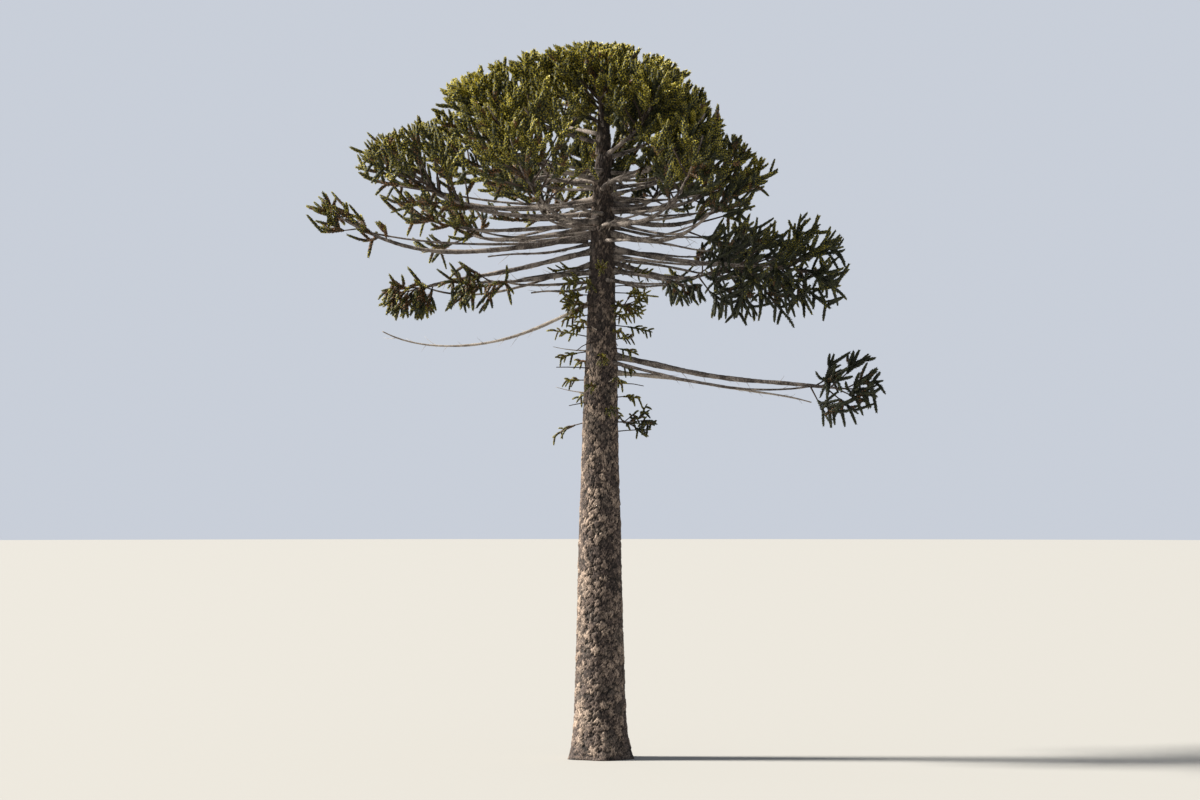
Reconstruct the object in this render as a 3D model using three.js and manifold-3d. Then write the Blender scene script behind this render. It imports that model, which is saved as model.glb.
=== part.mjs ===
// A mature monkey puzzle tree: a long bare trunk under a broad umbrella of rope-like shoots.
// Millimetres, +Z up. The origin is the middle of the flat cut at ground level. -Y is the front, and the
// longest bough points to -X.
import * as THREE from 'three';
import { mergeVertices } from 'three/addons/utils/BufferGeometryUtils.js';
import Module from 'manifold-3d';

const wasm = await Module();
wasm.setup();

// Driving dimensions of the whole tree.
const TREE_HEIGHT = 20000;
const TRUNK_TOP = 0.965 * TREE_HEIGHT;
const TRUNK_END = 0.925 * TREE_HEIGHT;
const TRUNK_RADIUS = 720;
const TRUNK_TAPER = 0.6;
const TRUNK_LEAN = 110;
const TRUNK_SWAY = 60;
const TRUNK_RINGS = [0, 150, 400, 850, 1600, 3500, 6000, 8500, 11000, 13200, 15000, 16500, 17600];

// The root flare: how much it adds at the ground, the height over which it fades, and its lobes round
// the foot.
const FLARE_SHARE = 0.34;
const FLARE_HEIGHT = 520;
const FLARE_LOBES = 5;
const FLARE_TURN = 0.8;
const LOBE_DEPTH = 0.3;

// The dome that the upper foliage fills: half an egg that is wider on the left, with a shallow belly below
// it. The broad whorl's masses form its brim, which is lower, stands out further and hangs down more.
const DOME_BASE = 0.815 * TREE_HEIGHT;
const DOME_RADIUS = 4950;
const DOME_POWER = 2;
const LOPSIDED = 0.195;
const DOME = { widen: 1, top: TREE_HEIGHT - DOME_BASE, belly: 1100 };
const BRIM = { widen: 1.35, top: 2200, belly: 1800 };

// The crown's underside, which rises towards the trunk by its hollow.
const CROWN_FLOOR = 14950;
const CROWN_HOLLOW = 850;

// How much the boughs of one whorl differ: in degrees, in millimetres at foot and tip, and as a share of
// their reach.
const WHORL_TURN_VARIES = 9;
const WHORL_FOOT_VARIES = 420;
const WHORL_TIP_VARIES = 220;
const WHORL_REACH_VARIES = 0.04;

// A bough wanders by these shares of its reach to the side and upwards, in waves that grow along it.
const WANDER_SIDE = 0.022;
const WANDER_UP = 0.008;
const WAVES_SIDE = 5;
const WAVES_UP = 9;

// A bough's radius is its thickness times a share that falls along it. A dead one thins to a finer tip,
// and a stem inside foliage runs from its girth down to its end share.
const BOUGH_FOOT_SHARE = 1.12;
const BOUGH_THINS = 0.5;
const DEAD_THINS = 0.72;
const STEM_GIRTH = 0.62;
const STEM_END_SHARE = 0.32;
const STEM_END = 0.99;
const TUFT_CURVE = 0.18;

// Clearance between solids that meet, and how far a spray keeps from limbs and from the next mass.
const SEAT_GAP = 0.3;
const LIMB_CLEAR = 30;
const SPACE_CLEAR = 25;

// Corners round each kind of limb.
const TRUNK_SIDES = 16;
const BOUGH_SIDES = 5;
const STEM_SIDES = 4;
const TWIG_SIDES = 3;

// A spray stands for a fist of shoots, so it is thicker than one shoot of the real tree.
const SPRAY_RADIUS = 180;
const SPRAY_LENGTH = 1050;
const SPRAY_BELLY = 0.45;
const SPRAY_GIRTH = 0.6;
const FREE_CHECKS = 12;

// A mass's foliage goes no further from its stem than this share of its spread.
const SPREAD_LIMIT = 1.45;

// The rule for twigs. A twig leans forwards more the nearer it is to the stem's end, spreads less up and down
// than sideways, and is dropped where less of it than a share of a spray is free.
const TWIG_RADIUS = 48;
const TWIG_THINS = 0.8;
const TWIG_FIRST = 0.6;
const TWIG_LEAN = 0.35;
const TWIG_LEAN_GAIN = 0.75;
const TWIG_FLATNESS = 0.7;
const TWIG_LENGTH = 0.7;
const TWIG_LENGTH_VARIES = 0.15;
const TWIG_BEND = 0.3;
const TWIG_TESTED_FROM = 0.12;
const TWIG_LEAST_FREE = 0.75;
const TWIG_LEAST_BARE = 0.08;

// The rule for the side sprays of a twig, which start just past its bare stretch and go back along it.
const SIDE_FIRST = 1.05;
const SIDE_RUN = 0.75;
const SIDE_TURN = 1.7;
const SIDE_SPREAD = 0.85;
const SIDE_LIFT = 0.7;
const SIDE_LENGTH = 0.8;
const SIDE_LENGTH_VARIES = 0.3;
const SIDE_BEND = 0.12;
const SIDE_TESTED_FROM = 0.3;
const SIDE_LEAST_FREE = 0.6;

// Fused foliage is simplified by no more than this.
const SIMPLIFY = 25;

// A dense mass has a core this share of its space across, found by steps outwards to the space's edge. It
// stays well off limbs, and its space ends a little above the crown's underside.
const CORE_SHARE = 0.66;
const CORE_STEP = 60;
const CORE_REACH = 1.6;
const CORE_LIMB_CLEAR = 160;
const CORE_LIFT = 350;

// Steps along a bough, along a stem, and along a line that is followed closely.
const BOUGH_STEPS = 4;
const STEM_STEPS = 3;
const FINE_STEPS = 10;

// Waves and turns start at a chance angle from 0 to this, in radians.
const ANY_ANGLE = 6;

// A limb steeper than this share of upright takes its rings' reference from the side.
const STEEP = 0.8;

// Seeds for what isn't a bough with leaves.
const LEADER_SEED = 39;
const TUFT_SEED = 40;
const DEAD_SEED = 99;

// The golden angle spaces neighbours evenly round a stem.
const GOLDEN = THREE.MathUtils.degToRad(137.508);
const UP = new THREE.Vector3(0, 0, 1);

// Whorls of boughs round the trunk, from the top down. foot is the height at the trunk, tip the height and
// reach the distance from the axis of the outer end, dip how steeply the limb first falls, bare the share of
// its length with no foliage, spread how far foliage reaches from its stem, lift how far twigs turn up, size
// that of its sprays, and fork how many of them stand beside a twig. The upper whorl's limbs are hidden.
const WHORLS = [
  {
    name: 'upper', count: 4, turn: 30, foot: 17000, tip: 18400, reach: 3500, dip: 900, bare: 0.34,
    spread: 1700, thick: 64, twigs: 18, lift: 0.45, size: 1, fork: 0,
  },
  {
    name: 'shoulder', count: 5, turn: 18, foot: 16200, tip: 17650, reach: 4500, dip: 200, bare: 0.42,
    spread: 1700, thick: 70, twigs: 19, lift: 0.35, size: 1, fork: 0,
  },
  {
    name: 'broad', count: 6, turn: 0, foot: 15300, tip: 16900, reach: 5150, dip: -700, bare: 0.6,
    spread: 1700, thick: 76, twigs: 15, lift: 0.3, size: 1, fork: 0,
  },
  {
    name: 'under', count: 2, turn: -40, foot: 14600, tip: 15350, reach: 4700, dip: -1100, bare: 0.68,
    spread: 1050, thick: 76, twigs: 6, lift: 0.2, size: 0.9, fork: 2,
  },
];

// Boughs that stand by themselves below the dome.
const LONE_BOUGHS = [
  {
    name: 'left_rim', azimuth: 169, foot: 15580, tip: 16750, reach: 6150, dip: -1000, bare: 0.76,
    spread: 1050, thick: 74, twigs: 10, lift: 0.2, size: 0.8, fork: 1.6,
  },
  {
    name: 'long_left', azimuth: 184, foot: 14600, tip: 15100, reach: 7550, dip: -1600, bare: 0.78,
    spread: 550, thick: 80, twigs: 6, lift: 0.15, size: 0.62, fork: 1.8,
  },
  {
    name: 'mid_left', azimuth: 199, foot: 14950, tip: 14750, reach: 4600, dip: -800, bare: 0.76,
    spread: 600, thick: 72, twigs: 5, lift: 0.15, size: 0.62, fork: 1.8,
  },
  {
    name: 'low_left', azimuth: 190, foot: 14150, tip: 12950, reach: 5450, dip: -1300, bare: 0.86,
    spread: 650, thick: 74, twigs: 6, lift: -0.45, size: 0.68, fork: 2,
  },
  {
    name: 'near_left', azimuth: 201, foot: 13550, tip: 13100, reach: 4100, dip: -600, bare: 0.66,
    spread: 650, thick: 64, twigs: 6, lift: -0.3, size: 0.72, fork: 2,
  },
  {
    name: 'right_rim', azimuth: 357, foot: 15050, tip: 16300, reach: 4350, dip: -900, bare: 0.72,
    spread: 800, thick: 74, twigs: 9, lift: 0.3, size: 0.85, fork: 1.8,
  },
  {
    name: 'right_arm', azimuth: 352, foot: 14200, tip: 13600, reach: 5400, dip: -1000, bare: 0.54,
    spread: 1200, thick: 84, twigs: 13, lift: 0, size: 0.85, fork: 1.8,
  },
  {
    name: 'right_hang', azimuth: 340, foot: 13600, tip: 13050, reach: 2750, dip: -500, bare: 0.62,
    spread: 600, thick: 56, twigs: 5, lift: -0.3, size: 0.62, fork: 2,
  },
  {
    name: 'lowest_right', azimuth: 348, foot: 11250, tip: 10250, reach: 6900, dip: -1500, bare: 0.84,
    spread: 850, thick: 82, twigs: 5, lift: 0.1, size: 0.75, fork: 2,
  },
  {
    name: 'low_back', azimuth: 38, foot: 13900, tip: 14100, reach: 4900, dip: -1200, bare: 0.64,
    spread: 1050, thick: 72, twigs: 8, lift: 0, size: 0.8, fork: 2,
  },
];

// The two boughs that have lost all their leaves.
const DEAD_BOUGHS = [
  { name: 'dead_left', azimuth: 181, foot: 12800, tip: 11900, reach: 6100, dip: -3000, bare: 1, thick: 58 },
  { name: 'dead_right', azimuth: 5, foot: 10750, tip: 9850, reach: 5900, dip: -550, bare: 1, thick: 66 },
];

// Foliage that sits straight on the trunk: the leader's crown, then tufts lower down. rise is the slope of
// the stem.
const CROWN_TOPS = [
  {
    name: 'top_front', azimuth: 262, foot: 17500, length: 2000, rise: 0.6,
    spread: 1500, thick: 56, twigs: 19, lift: 0.4, size: 1, fork: 0,
  },
  {
    name: 'top_left', azimuth: 150, foot: 17600, length: 2300, rise: 0.6,
    spread: 1500, thick: 56, twigs: 19, lift: 0.4, size: 1, fork: 0,
  },
  {
    name: 'top_right', azimuth: 20, foot: 17700, length: 1900, rise: 0.6,
    spread: 1500, thick: 56, twigs: 19, lift: 0.4, size: 1, fork: 0,
  },
];
const LEADER = {
  name: 'top_leader', length: 900,
  spread: 1500, thick: 60, twigs: 20, lift: 0.15, size: 1, fork: 0,
};
const TUFTS = [
  {
    name: 'tuft_left_high', azimuth: 192, foot: 12600, length: 880, rise: -0.1,
    spread: 320, thick: 30, twigs: 4, lift: -0.05, size: 0.34, fork: 2,
  },
  {
    name: 'tuft_right_high', azimuth: 338, foot: 12550, length: 1050, rise: -0.05,
    spread: 380, thick: 32, twigs: 4, lift: 0, size: 0.38, fork: 2,
  },
  {
    name: 'tuft_right_low', azimuth: 356, foot: 9400, length: 1200, rise: -0.2,
    spread: 380, thick: 32, twigs: 4, lift: 0, size: 0.38, fork: 2,
  },
];

// A number from 0 to 1 that is always the same for the same three keys.
function chance(a, b, c) {
  const mixed = Math.sin(a * 12.9898 + b * 78.233 + c * 37.719) * 43758.5453;
  return mixed - Math.floor(mixed);
}

function jitter(a, b, c, size) {
  return (2 * chance(a, b, c) - 1) * size;
}

function outward(azimuthDegrees) {
  const azimuth = THREE.MathUtils.degToRad(azimuthDegrees);
  return new THREE.Vector3(Math.cos(azimuth), Math.sin(azimuth), 0);
}

// The trunk's centre at a height: a slight lean that grows upwards, and one slow sway.
function trunkAxis(height) {
  const share = height / TRUNK_TOP;
  const sway = TRUNK_SWAY * Math.sin(2 * Math.PI * share);
  return new THREE.Vector3(TRUNK_LEAN * share ** 3 - 0.5 * sway * share, sway, height);
}

// The trunk thins slowly at first and quickly near the tip, as a power of the height that is left.
function trunkRadius(height) {
  return TRUNK_RADIUS * Math.max(1 - height / TRUNK_TOP, 0) ** TRUNK_TAPER;
}

// The swelling over the roots, with one broad lobe over each.
function flare(height, angle) {
  const lobes = 1 - LOBE_DEPTH + LOBE_DEPTH * Math.cos(FLARE_LOBES * angle + FLARE_TURN);
  return 1 + FLARE_SHARE * Math.exp(-height / FLARE_HEIGHT) * lobes;
}

function domeRadius(azimuth) {
  return DOME_RADIUS * (1 - LOPSIDED * Math.cos(azimuth));
}

// Below 1 inside a dome and above 1 outside it.
function domeShare(point, dome) {
  const above = point.z - DOME_BASE;
  const level = above > 0 ? above / dome.top : -above / dome.belly;
  const out = Math.hypot(point.x, point.y) / domeRadius(Math.atan2(point.y, point.x));
  return out ** DOME_POWER / dome.widen + level ** DOME_POWER;
}

// The height of the crown's underside over a point, highest at the trunk.
function underside(point) {
  return CROWN_FLOOR + CROWN_HOLLOW * Math.max(1 - Math.hypot(point.x, point.y) / DOME_RADIUS, 0);
}

// Every bough, with its own small differences from the others of its whorl.
function makeBoughs() {
  const boughs = [];
  for (const [row, whorl] of WHORLS.entries()) {
    for (let k = 0; k < whorl.count; k++) {
      const azimuth = whorl.turn + (360 * k) / whorl.count + jitter(row, k, 1, WHORL_TURN_VARIES);
      const wide = 1 - LOPSIDED * Math.cos(THREE.MathUtils.degToRad(azimuth));
      boughs.push({
        ...whorl,
        name: `${whorl.name}_${k + 1}`,
        azimuth,
        foot: whorl.foot + jitter(row, k, 2, WHORL_FOOT_VARIES),
        tip: whorl.tip + jitter(row, k, 3, WHORL_TIP_VARIES),
        reach: whorl.reach * wide * (1 + jitter(row, k, 4, WHORL_REACH_VARIES)),
        dome: whorl.name === 'broad' ? BRIM : DOME,
        dense: whorl.name !== 'under',
        hidden: whorl.name === 'upper',
      });
    }
  }
  for (const bough of LONE_BOUGHS) boughs.push({ ...bough, dense: false, hidden: false });
  return boughs.map((bough, seed) => ({ ...bough, seed }));
}

// A bough's centre line, with t from 0 at the trunk's axis to 1 at the tip: it leaves with its dip, turns up
// with the cube of t, and wanders a little to the side.
function boughLine(bough) {
  const out = outward(bough.azimuth);
  const side = new THREE.Vector3(-out.y, out.x, 0);
  const base = trunkAxis(bough.foot);
  const rise = bough.tip - bough.foot - bough.dip;
  const phase = ANY_ANGLE * chance(bough.seed, 7, 7);
  return (t) => {
    const aside = WANDER_SIDE * bough.reach * Math.sin(WAVES_SIDE * t + phase) * t;
    const above = WANDER_UP * bough.reach * Math.sin(WAVES_UP * t + phase) * t;
    return base
      .clone()
      .addScaledVector(out, bough.reach * t)
      .addScaledVector(side, aside)
      .addScaledVector(UP, bough.dip * t + rise * t ** 3 + above);
  };
}

// The centre line of a stem that springs straight from the trunk, and curves upwards.
function tuftLine(tuft) {
  const out = outward(tuft.azimuth);
  const base = trunkAxis(tuft.foot);
  const heading = out.clone().addScaledVector(UP, tuft.rise).normalize();
  return (t) =>
    base
      .clone()
      .addScaledVector(heading, tuft.length * t)
      .addScaledVector(UP, TUFT_CURVE * tuft.length * t * t);
}

// The centre line of a twig or spray, which turns up by its bend as it goes.
function shootLine(root, heading, length, bend) {
  return (t) => root.clone().addScaledVector(heading, length * t).addScaledVector(UP, bend * length * t * t);
}

// A point on a centre line, with the limb's heading and radius there.
function stationAt(line, t, radius = 0) {
  const nudge = 1e-4;
  return { at: line(t), heading: line(t + nudge).sub(line(t - nudge)).normalize(), radius };
}

function stationsAlong(line, from, to, steps, radiusAt) {
  const shares = Array.from({ length: steps + 1 }, (_, i) => i / steps);
  return shares.map((share) => stationAt(line, from + (to - from) * share, radiusAt(share)));
}

// A direction that lies well off the whole limb, so that its rings never twist.
function steadyReference(stations) {
  const chord = stations.at(-1).at.clone().sub(stations[0].at).normalize();
  return Math.abs(chord.z) < STEEP ? UP : new THREE.Vector3(1, 0.2, 0).normalize();
}

// A closed skin round stations: a ring of corners at each one, and at each end a flat cap, or a point where
// the radius is 0.
function skin(stations, sides, reference = steadyReference(stations)) {
  const corners = [];
  const faces = [];
  const rings = stations.filter((station) => station.radius > 0);
  for (const { at, heading, radius } of rings) {
    const across = reference.clone().cross(heading).normalize();
    const over = heading.clone().cross(across);
    for (let k = 0; k < sides; k++) {
      const angle = (2 * Math.PI * k) / sides;
      corners.push(
        at
          .clone()
          .addScaledVector(across, radius * Math.cos(angle))
          .addScaledVector(over, radius * Math.sin(angle)),
      );
    }
  }
  for (let i = 0; i + 1 < rings.length; i++) {
    for (let k = 0; k < sides; k++) {
      const a = i * sides + k;
      const b = i * sides + ((k + 1) % sides);
      faces.push(a, b, b + sides, a, b + sides, a + sides);
    }
  }
  const last = (rings.length - 1) * sides;
  for (const [station, ring, turned] of [[stations[0], 0, true], [stations.at(-1), last, false]]) {
    const pointed = station.radius === 0;
    if (pointed) corners.push(station.at.clone());
    for (let k = pointed ? 0 : 1; pointed ? k < sides : k + 1 < sides; k++) {
      const a = pointed ? corners.length - 1 : ring;
      const b = ring + k;
      const c = ring + ((k + 1) % sides);
      if (turned) faces.push(a, c, b);
      else faces.push(a, b, c);
    }
  }
  return new THREE.BufferGeometry().setFromPoints(corners).setIndex(faces);
}

// The trunk's skin, a little larger than life where grow says so: rings up the axis, each with the flare.
function trunkGeometry(grow = 0) {
  const heights = [...TRUNK_RINGS, TRUNK_END + grow];
  const corners = [];
  const faces = [];
  for (const height of heights) {
    const centre = trunkAxis(height);
    for (let k = 0; k < TRUNK_SIDES; k++) {
      const angle = (2 * Math.PI * k) / TRUNK_SIDES;
      const radius = trunkRadius(height) * flare(height, angle) + grow;
      const out = new THREE.Vector3(Math.cos(angle), Math.sin(angle), 0);
      corners.push(centre.clone().addScaledVector(out, radius));
    }
  }
  const rings = heights.length;
  for (let i = 0; i + 1 < rings; i++) {
    for (let k = 0; k < TRUNK_SIDES; k++) {
      const a = i * TRUNK_SIDES + k;
      const b = i * TRUNK_SIDES + ((k + 1) % TRUNK_SIDES);
      faces.push(a, b, b + TRUNK_SIDES, a, b + TRUNK_SIDES, a + TRUNK_SIDES);
    }
  }
  const last = (rings - 1) * TRUNK_SIDES;
  for (let k = 1; k + 1 < TRUNK_SIDES; k++) {
    faces.push(0, k + 1, k);
    faces.push(last, last + k, last + k + 1);
  }
  return new THREE.BufferGeometry().setFromPoints(corners).setIndex(faces);
}

function solidOf(geometry) {
  return new wasm.Manifold(
    new wasm.Mesh({
      numProp: 3,
      vertProperties: geometry.getAttribute('position').array,
      triVerts: new Uint32Array(geometry.index.array),
    }),
  );
}

function geometryOf(solid) {
  const mesh = solid.getMesh();
  return new THREE.BufferGeometry()
    .setAttribute('position', new THREE.BufferAttribute(mesh.vertProperties, 3))
    .setIndex(new THREE.BufferAttribute(mesh.triVerts, 1))
    .toNonIndexed();
}

// The largest piece of a solid, so that no loose scrap stays beside it.
function wholePiece(solid) {
  const pieces = solid.decompose();
  return pieces.reduce((best, piece) => (piece.volume() > best.volume() ? piece : best));
}

// Distance from a point to a run of stations, less the limb's own radius there.
function gapToLimb(point, stations) {
  let least = Infinity;
  const part = new THREE.Vector3();
  for (let i = 0; i + 1 < stations.length; i++) {
    const a = stations[i];
    const b = stations[i + 1];
    part.subVectors(b.at, a.at);
    const share = THREE.MathUtils.clamp(point.clone().sub(a.at).dot(part) / part.lengthSq(), 0, 1);
    const nearest = a.at.clone().addScaledVector(part, share);
    least = Math.min(least, nearest.distanceTo(point) - THREE.MathUtils.lerp(a.radius, b.radius, share));
  }
  return least;
}

// The space of each mass: points nearer to its own stem than to any other, each distance counted in its
// mass's own spread, no further from the stem than its limit, and inside the dome where it belongs to it.
function inSpace(point, margin, mass, masses) {
  const own = gapToLimb(point, mass.spine);
  if (own + margin > mass.limit) return false;
  if (mass.dense && (point.z < underside(point) || domeShare(point, mass.dome) > 1)) return false;
  const share = (own + margin) / mass.spread;
  const isCloser = (other) => share < (gapToLimb(point, other.spine) - margin) / other.spread;
  return masses.every((other) => other === mass || isCloser(other));
}

function clearOfLimbs(point, margin, mass, limbs) {
  const trunkGap = point.clone().sub(trunkAxis(point.z)).length() - trunkRadius(point.z);
  if (point.z < TRUNK_END + margin && trunkGap < margin + LIMB_CLEAR) return false;
  const isClear = (limb) => gapToLimb(point, limb.stations) > margin + LIMB_CLEAR;
  return limbs.every((limb) => limb.owner === mass.owner || isClear(limb));
}

// How much of a shoot stays in its mass's space and off every limb, from 0 for none to 1 for all of it.
function freeShare(line, from, radius, mass, masses, limbs) {
  let free = 0;
  for (let i = 0; i <= FREE_CHECKS; i++) {
    const t = from + ((1 - from) * i) / FREE_CHECKS;
    const point = line(t);
    if (!inSpace(point, radius + SPACE_CLEAR, mass, masses)) break;
    if (!clearOfLimbs(point, radius, mass, limbs)) break;
    free = t;
  }
  return free;
}

// The frame across a heading: one direction level with the ground, the other as near to upwards as it can be.
function crossFrame(heading) {
  const level = new THREE.Vector3().crossVectors(UP, heading);
  if (level.length() < 0.05) level.set(1, 0, 0);
  level.normalize();
  return { level, over: new THREE.Vector3().crossVectors(heading, level) };
}

// The twigs of one mass, by one rule: they leave the stem a golden angle apart, lean forwards, and turn up or
// down by the mass's lift. Each runs as far as its space lets it, and its last stretch is a spray.
function makeTwigs(mass, masses, limbs) {
  const twigs = [];
  const reach = mass.size * SPRAY_LENGTH;
  const radius = mass.size * SPRAY_RADIUS;
  for (let i = 0; i < mass.twigs; i++) {
    const along = (i + TWIG_FIRST) / mass.twigs;
    const root = stationAt(mass.line, mass.leafy + (1 - mass.leafy) * along);
    const { level, over } = crossFrame(root.heading);
    const angle = i * GOLDEN + ANY_ANGLE * chance(mass.seed, 3, 3);
    const heading = root.heading
      .clone()
      .multiplyScalar(TWIG_LEAN + TWIG_LEAN_GAIN * along)
      .addScaledVector(level, Math.cos(angle))
      .addScaledVector(over, TWIG_FLATNESS * Math.sin(angle))
      .addScaledVector(UP, mass.lift)
      .normalize();
    const length = mass.spread * (TWIG_LENGTH + jitter(mass.seed, i, 4, TWIG_LENGTH_VARIES)) + reach;
    const line = shootLine(root.at, heading, length, TWIG_BEND * mass.lift);
    const free = freeShare(line, TWIG_TESTED_FROM, SPRAY_GIRTH * radius, mass, masses, limbs);
    if (free * length < TWIG_LEAST_FREE * reach) continue;
    const bare = Math.max(free - reach / length, TWIG_LEAST_BARE);
    twigs.push({ line, length, bare, number: i, spray: { line, from: bare, end: free, radius } });
  }
  return twigs;
}

// The side sprays of one twig, which stand a golden angle apart behind its end, turned forwards and upwards.
function makeSprays(mass, twig, masses, limbs) {
  const sprays = [];
  const reach = mass.size * SPRAY_LENGTH;
  const radius = mass.size * SPRAY_RADIUS;
  const count = Math.round((mass.fork * twig.length * twig.bare) / reach);
  for (let j = 0; j < count; j++) {
    const root = stationAt(twig.line, twig.bare * (SIDE_FIRST - (SIDE_RUN * j) / count));
    const { level, over } = crossFrame(root.heading);
    const angle = j * GOLDEN + twig.number * SIDE_TURN;
    const heading = root.heading
      .clone()
      .addScaledVector(level, SIDE_SPREAD * Math.cos(angle))
      .addScaledVector(over, SIDE_SPREAD * Math.sin(angle))
      .addScaledVector(UP, SIDE_LIFT * mass.lift)
      .normalize();
    const length = reach * (SIDE_LENGTH + SIDE_LENGTH_VARIES * chance(mass.seed, twig.number, j + 9));
    const line = shootLine(root.at, heading, length, SIDE_BEND);
    const free = freeShare(line, SIDE_TESTED_FROM, SPRAY_GIRTH * radius, mass, masses, limbs);
    if (free >= SIDE_LEAST_FREE) sprays.push({ line, from: 0, end: free, radius });
  }
  return sprays;
}

// The stations of a spray: a spindle that is thickest at its belly and pointed at its end.
function spindle(spray, rootRadius) {
  const belly = stationAt(spray.line, spray.from + SPRAY_BELLY * (spray.end - spray.from), spray.radius);
  return [stationAt(spray.line, spray.from, rootRadius), belly, stationAt(spray.line, spray.end, 0)];
}

// The core of a dense mass: a ball pulled out in every direction to a share of the way to its space's edge,
// and thus a smaller copy of that space.
function coreGeometry(mass, masses, limbs) {
  const ball = new THREE.IcosahedronGeometry(1, 1);
  ball.deleteAttribute('normal');
  ball.deleteAttribute('uv');
  const core = mergeVertices(ball, 1e-3);
  const corners = core.getAttribute('position');
  const centre = mass.line(0.5 * (mass.leafy + 1));
  for (let i = 0; i < corners.count; i++) {
    const out = new THREE.Vector3().fromBufferAttribute(corners, i);
    let distance = CORE_STEP;
    for (; distance < CORE_REACH * mass.spread; distance += CORE_STEP) {
      const point = centre.clone().addScaledVector(out, distance);
      if (point.z < underside(point) + CORE_LIFT || !inSpace(point, SPACE_CLEAR, mass, masses)) break;
      if (!clearOfLimbs(point, CORE_LIMB_CLEAR, mass, limbs)) break;
    }
    corners.setXYZ(i, ...centre.clone().addScaledVector(out, CORE_SHARE * distance).toArray());
  }
  return core;
}

function stemStations(mass) {
  const radiusAt = (share) => mass.thick * THREE.MathUtils.lerp(mass.girth, STEM_END_SHARE, share);
  return stationsAlong(mass.line, mass.from, STEM_END, STEM_STEPS, radiusAt);
}

// A limb a little larger than life, which cuts foliage clear of it and stops short of the stem beyond its
// end.
function limbCut(limb) {
  const grown = limb.stations.map((station) => ({ ...station, radius: station.radius + LIMB_CLEAR }));
  const end = grown.at(-1);
  grown[grown.length - 1] = { ...end, at: end.at.clone().addScaledVector(end.heading, 0.5 * SEAT_GAP) };
  return solidOf(skin(grown, BOUGH_SIDES, limb.reference));
}

// A mass of foliage: its stem, twigs and sprays fused to one solid, and cut clear of the trunk or bough that
// it springs from. A twig goes over into its end spray, and its side sprays are sunk in it.
function massSolid(mass, masses, limbs, trunkCut) {
  const stem = stemStations(mass);
  if (!mass.onTrunk) stem[0].at.addScaledVector(stem[0].heading, SEAT_GAP);
  const pieces = [solidOf(skin(stem, STEM_SIDES, mass.reference))];
  for (const twig of makeTwigs(mass, masses, limbs)) {
    const foot = stationAt(twig.line, 0, TWIG_RADIUS);
    pieces.push(solidOf(skin([foot, ...spindle(twig.spray, TWIG_THINS * TWIG_RADIUS)], TWIG_SIDES)));
    for (const spray of makeSprays(mass, twig, masses, limbs)) {
      pieces.push(solidOf(skin(spindle(spray, 0), TWIG_SIDES)));
    }
  }
  if (mass.dense) pieces.push(solidOf(coreGeometry(mass, masses, limbs)));
  const fused = wholePiece(wasm.Manifold.union(pieces)).simplify(SIMPLIFY);
  if (mass.onTrunk) return wholePiece(fused.subtract(trunkCut));
  return mass.bough ? wholePiece(fused.subtract(limbCut(mass.bough))) : fused;
}

const barkGrey = new THREE.MeshStandardMaterial({ color: 0x8c7c72, roughness: 0.95, metalness: 0 });
const limbGrey = new THREE.MeshStandardMaterial({ color: 0x7a6a60, roughness: 0.9, metalness: 0 });
const deadGrey = new THREE.MeshStandardMaterial({ color: 0x9a918b, roughness: 0.95, metalness: 0 });
const leafGreen = new THREE.MeshStandardMaterial({ color: 0x4d5a22, roughness: 0.7, metalness: 0 });

const boughs = makeBoughs();
const limbs = [];
const masses = [];

// A bough is drawn as far as its bare share, and its mass goes on from there on the same line. A hidden one
// is the stem of its mass all the way from the trunk.
for (const bough of boughs) {
  const line = boughLine(bough);
  const radiusAt = (share) => bough.thick * (BOUGH_FOOT_SHARE - BOUGH_THINS * share);
  bough.reference = steadyReference(stationsAlong(line, 0, 1, FINE_STEPS, radiusAt));
  bough.stations = stationsAlong(line, 0, bough.bare, BOUGH_STEPS, radiusAt);
  const mass = { ...bough, owner: bough.name, line, leafy: bough.bare };
  if (bough.hidden) {
    masses.push({ ...mass, from: 0, girth: 1, onTrunk: true, bough: null });
    continue;
  }
  limbs.push({ owner: null, stations: bough.stations });
  masses.push({ ...mass, from: bough.bare, girth: STEM_GIRTH, onTrunk: false, bough });
}

// The leader's mass goes on from the flat end of the trunk, and the others spring from the trunk's side.
const trunkEnd = trunkAxis(TRUNK_END);
const leaderLine = (t) => trunkEnd.clone().addScaledVector(UP, LEADER.length * t);
const onLeader = { line: leaderLine, from: 0, leafy: 0, girth: STEM_GIRTH, onTrunk: false };
masses.push({ ...LEADER, ...onLeader, owner: 'leader', seed: LEADER_SEED, dome: DOME, dense: true });
for (const [k, tuft] of [...CROWN_TOPS, ...TUFTS].entries()) {
  const from = (0.5 * trunkRadius(tuft.foot)) / tuft.length;
  const top = CROWN_TOPS.includes(tuft);
  const start = { line: tuftLine(tuft), from, leafy: from, girth: STEM_GIRTH, onTrunk: true };
  masses.push({ ...tuft, ...start, owner: tuft.name, seed: TUFT_SEED + k, dome: DOME, dense: top });
}

for (const mass of masses) {
  mass.limit = SPREAD_LIMIT * mass.spread;
  mass.spine = stationsAlong(mass.line, mass.leafy, 1, STEM_STEPS, () => 0);
  mass.reference ??= steadyReference(mass.spine);
  limbs.push({ owner: mass.owner, stations: stemStations(mass) });
}

const deadBoughs = DEAD_BOUGHS.map((bough, k) => ({ ...bough, seed: DEAD_SEED + k }));
for (const dead of deadBoughs) {
  const radiusAt = (share) => dead.thick * (1 - DEAD_THINS * share);
  dead.stations = stationsAlong(boughLine(dead), 0, 1, FINE_STEPS, radiusAt);
  limbs.push({ owner: null, stations: dead.stations });
}

const tree = new THREE.Group();

function addPiece(name, geometry, material) {
  const piece = new THREE.Mesh(geometry, material);
  piece.name = name;
  tree.add(piece);
}

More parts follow.
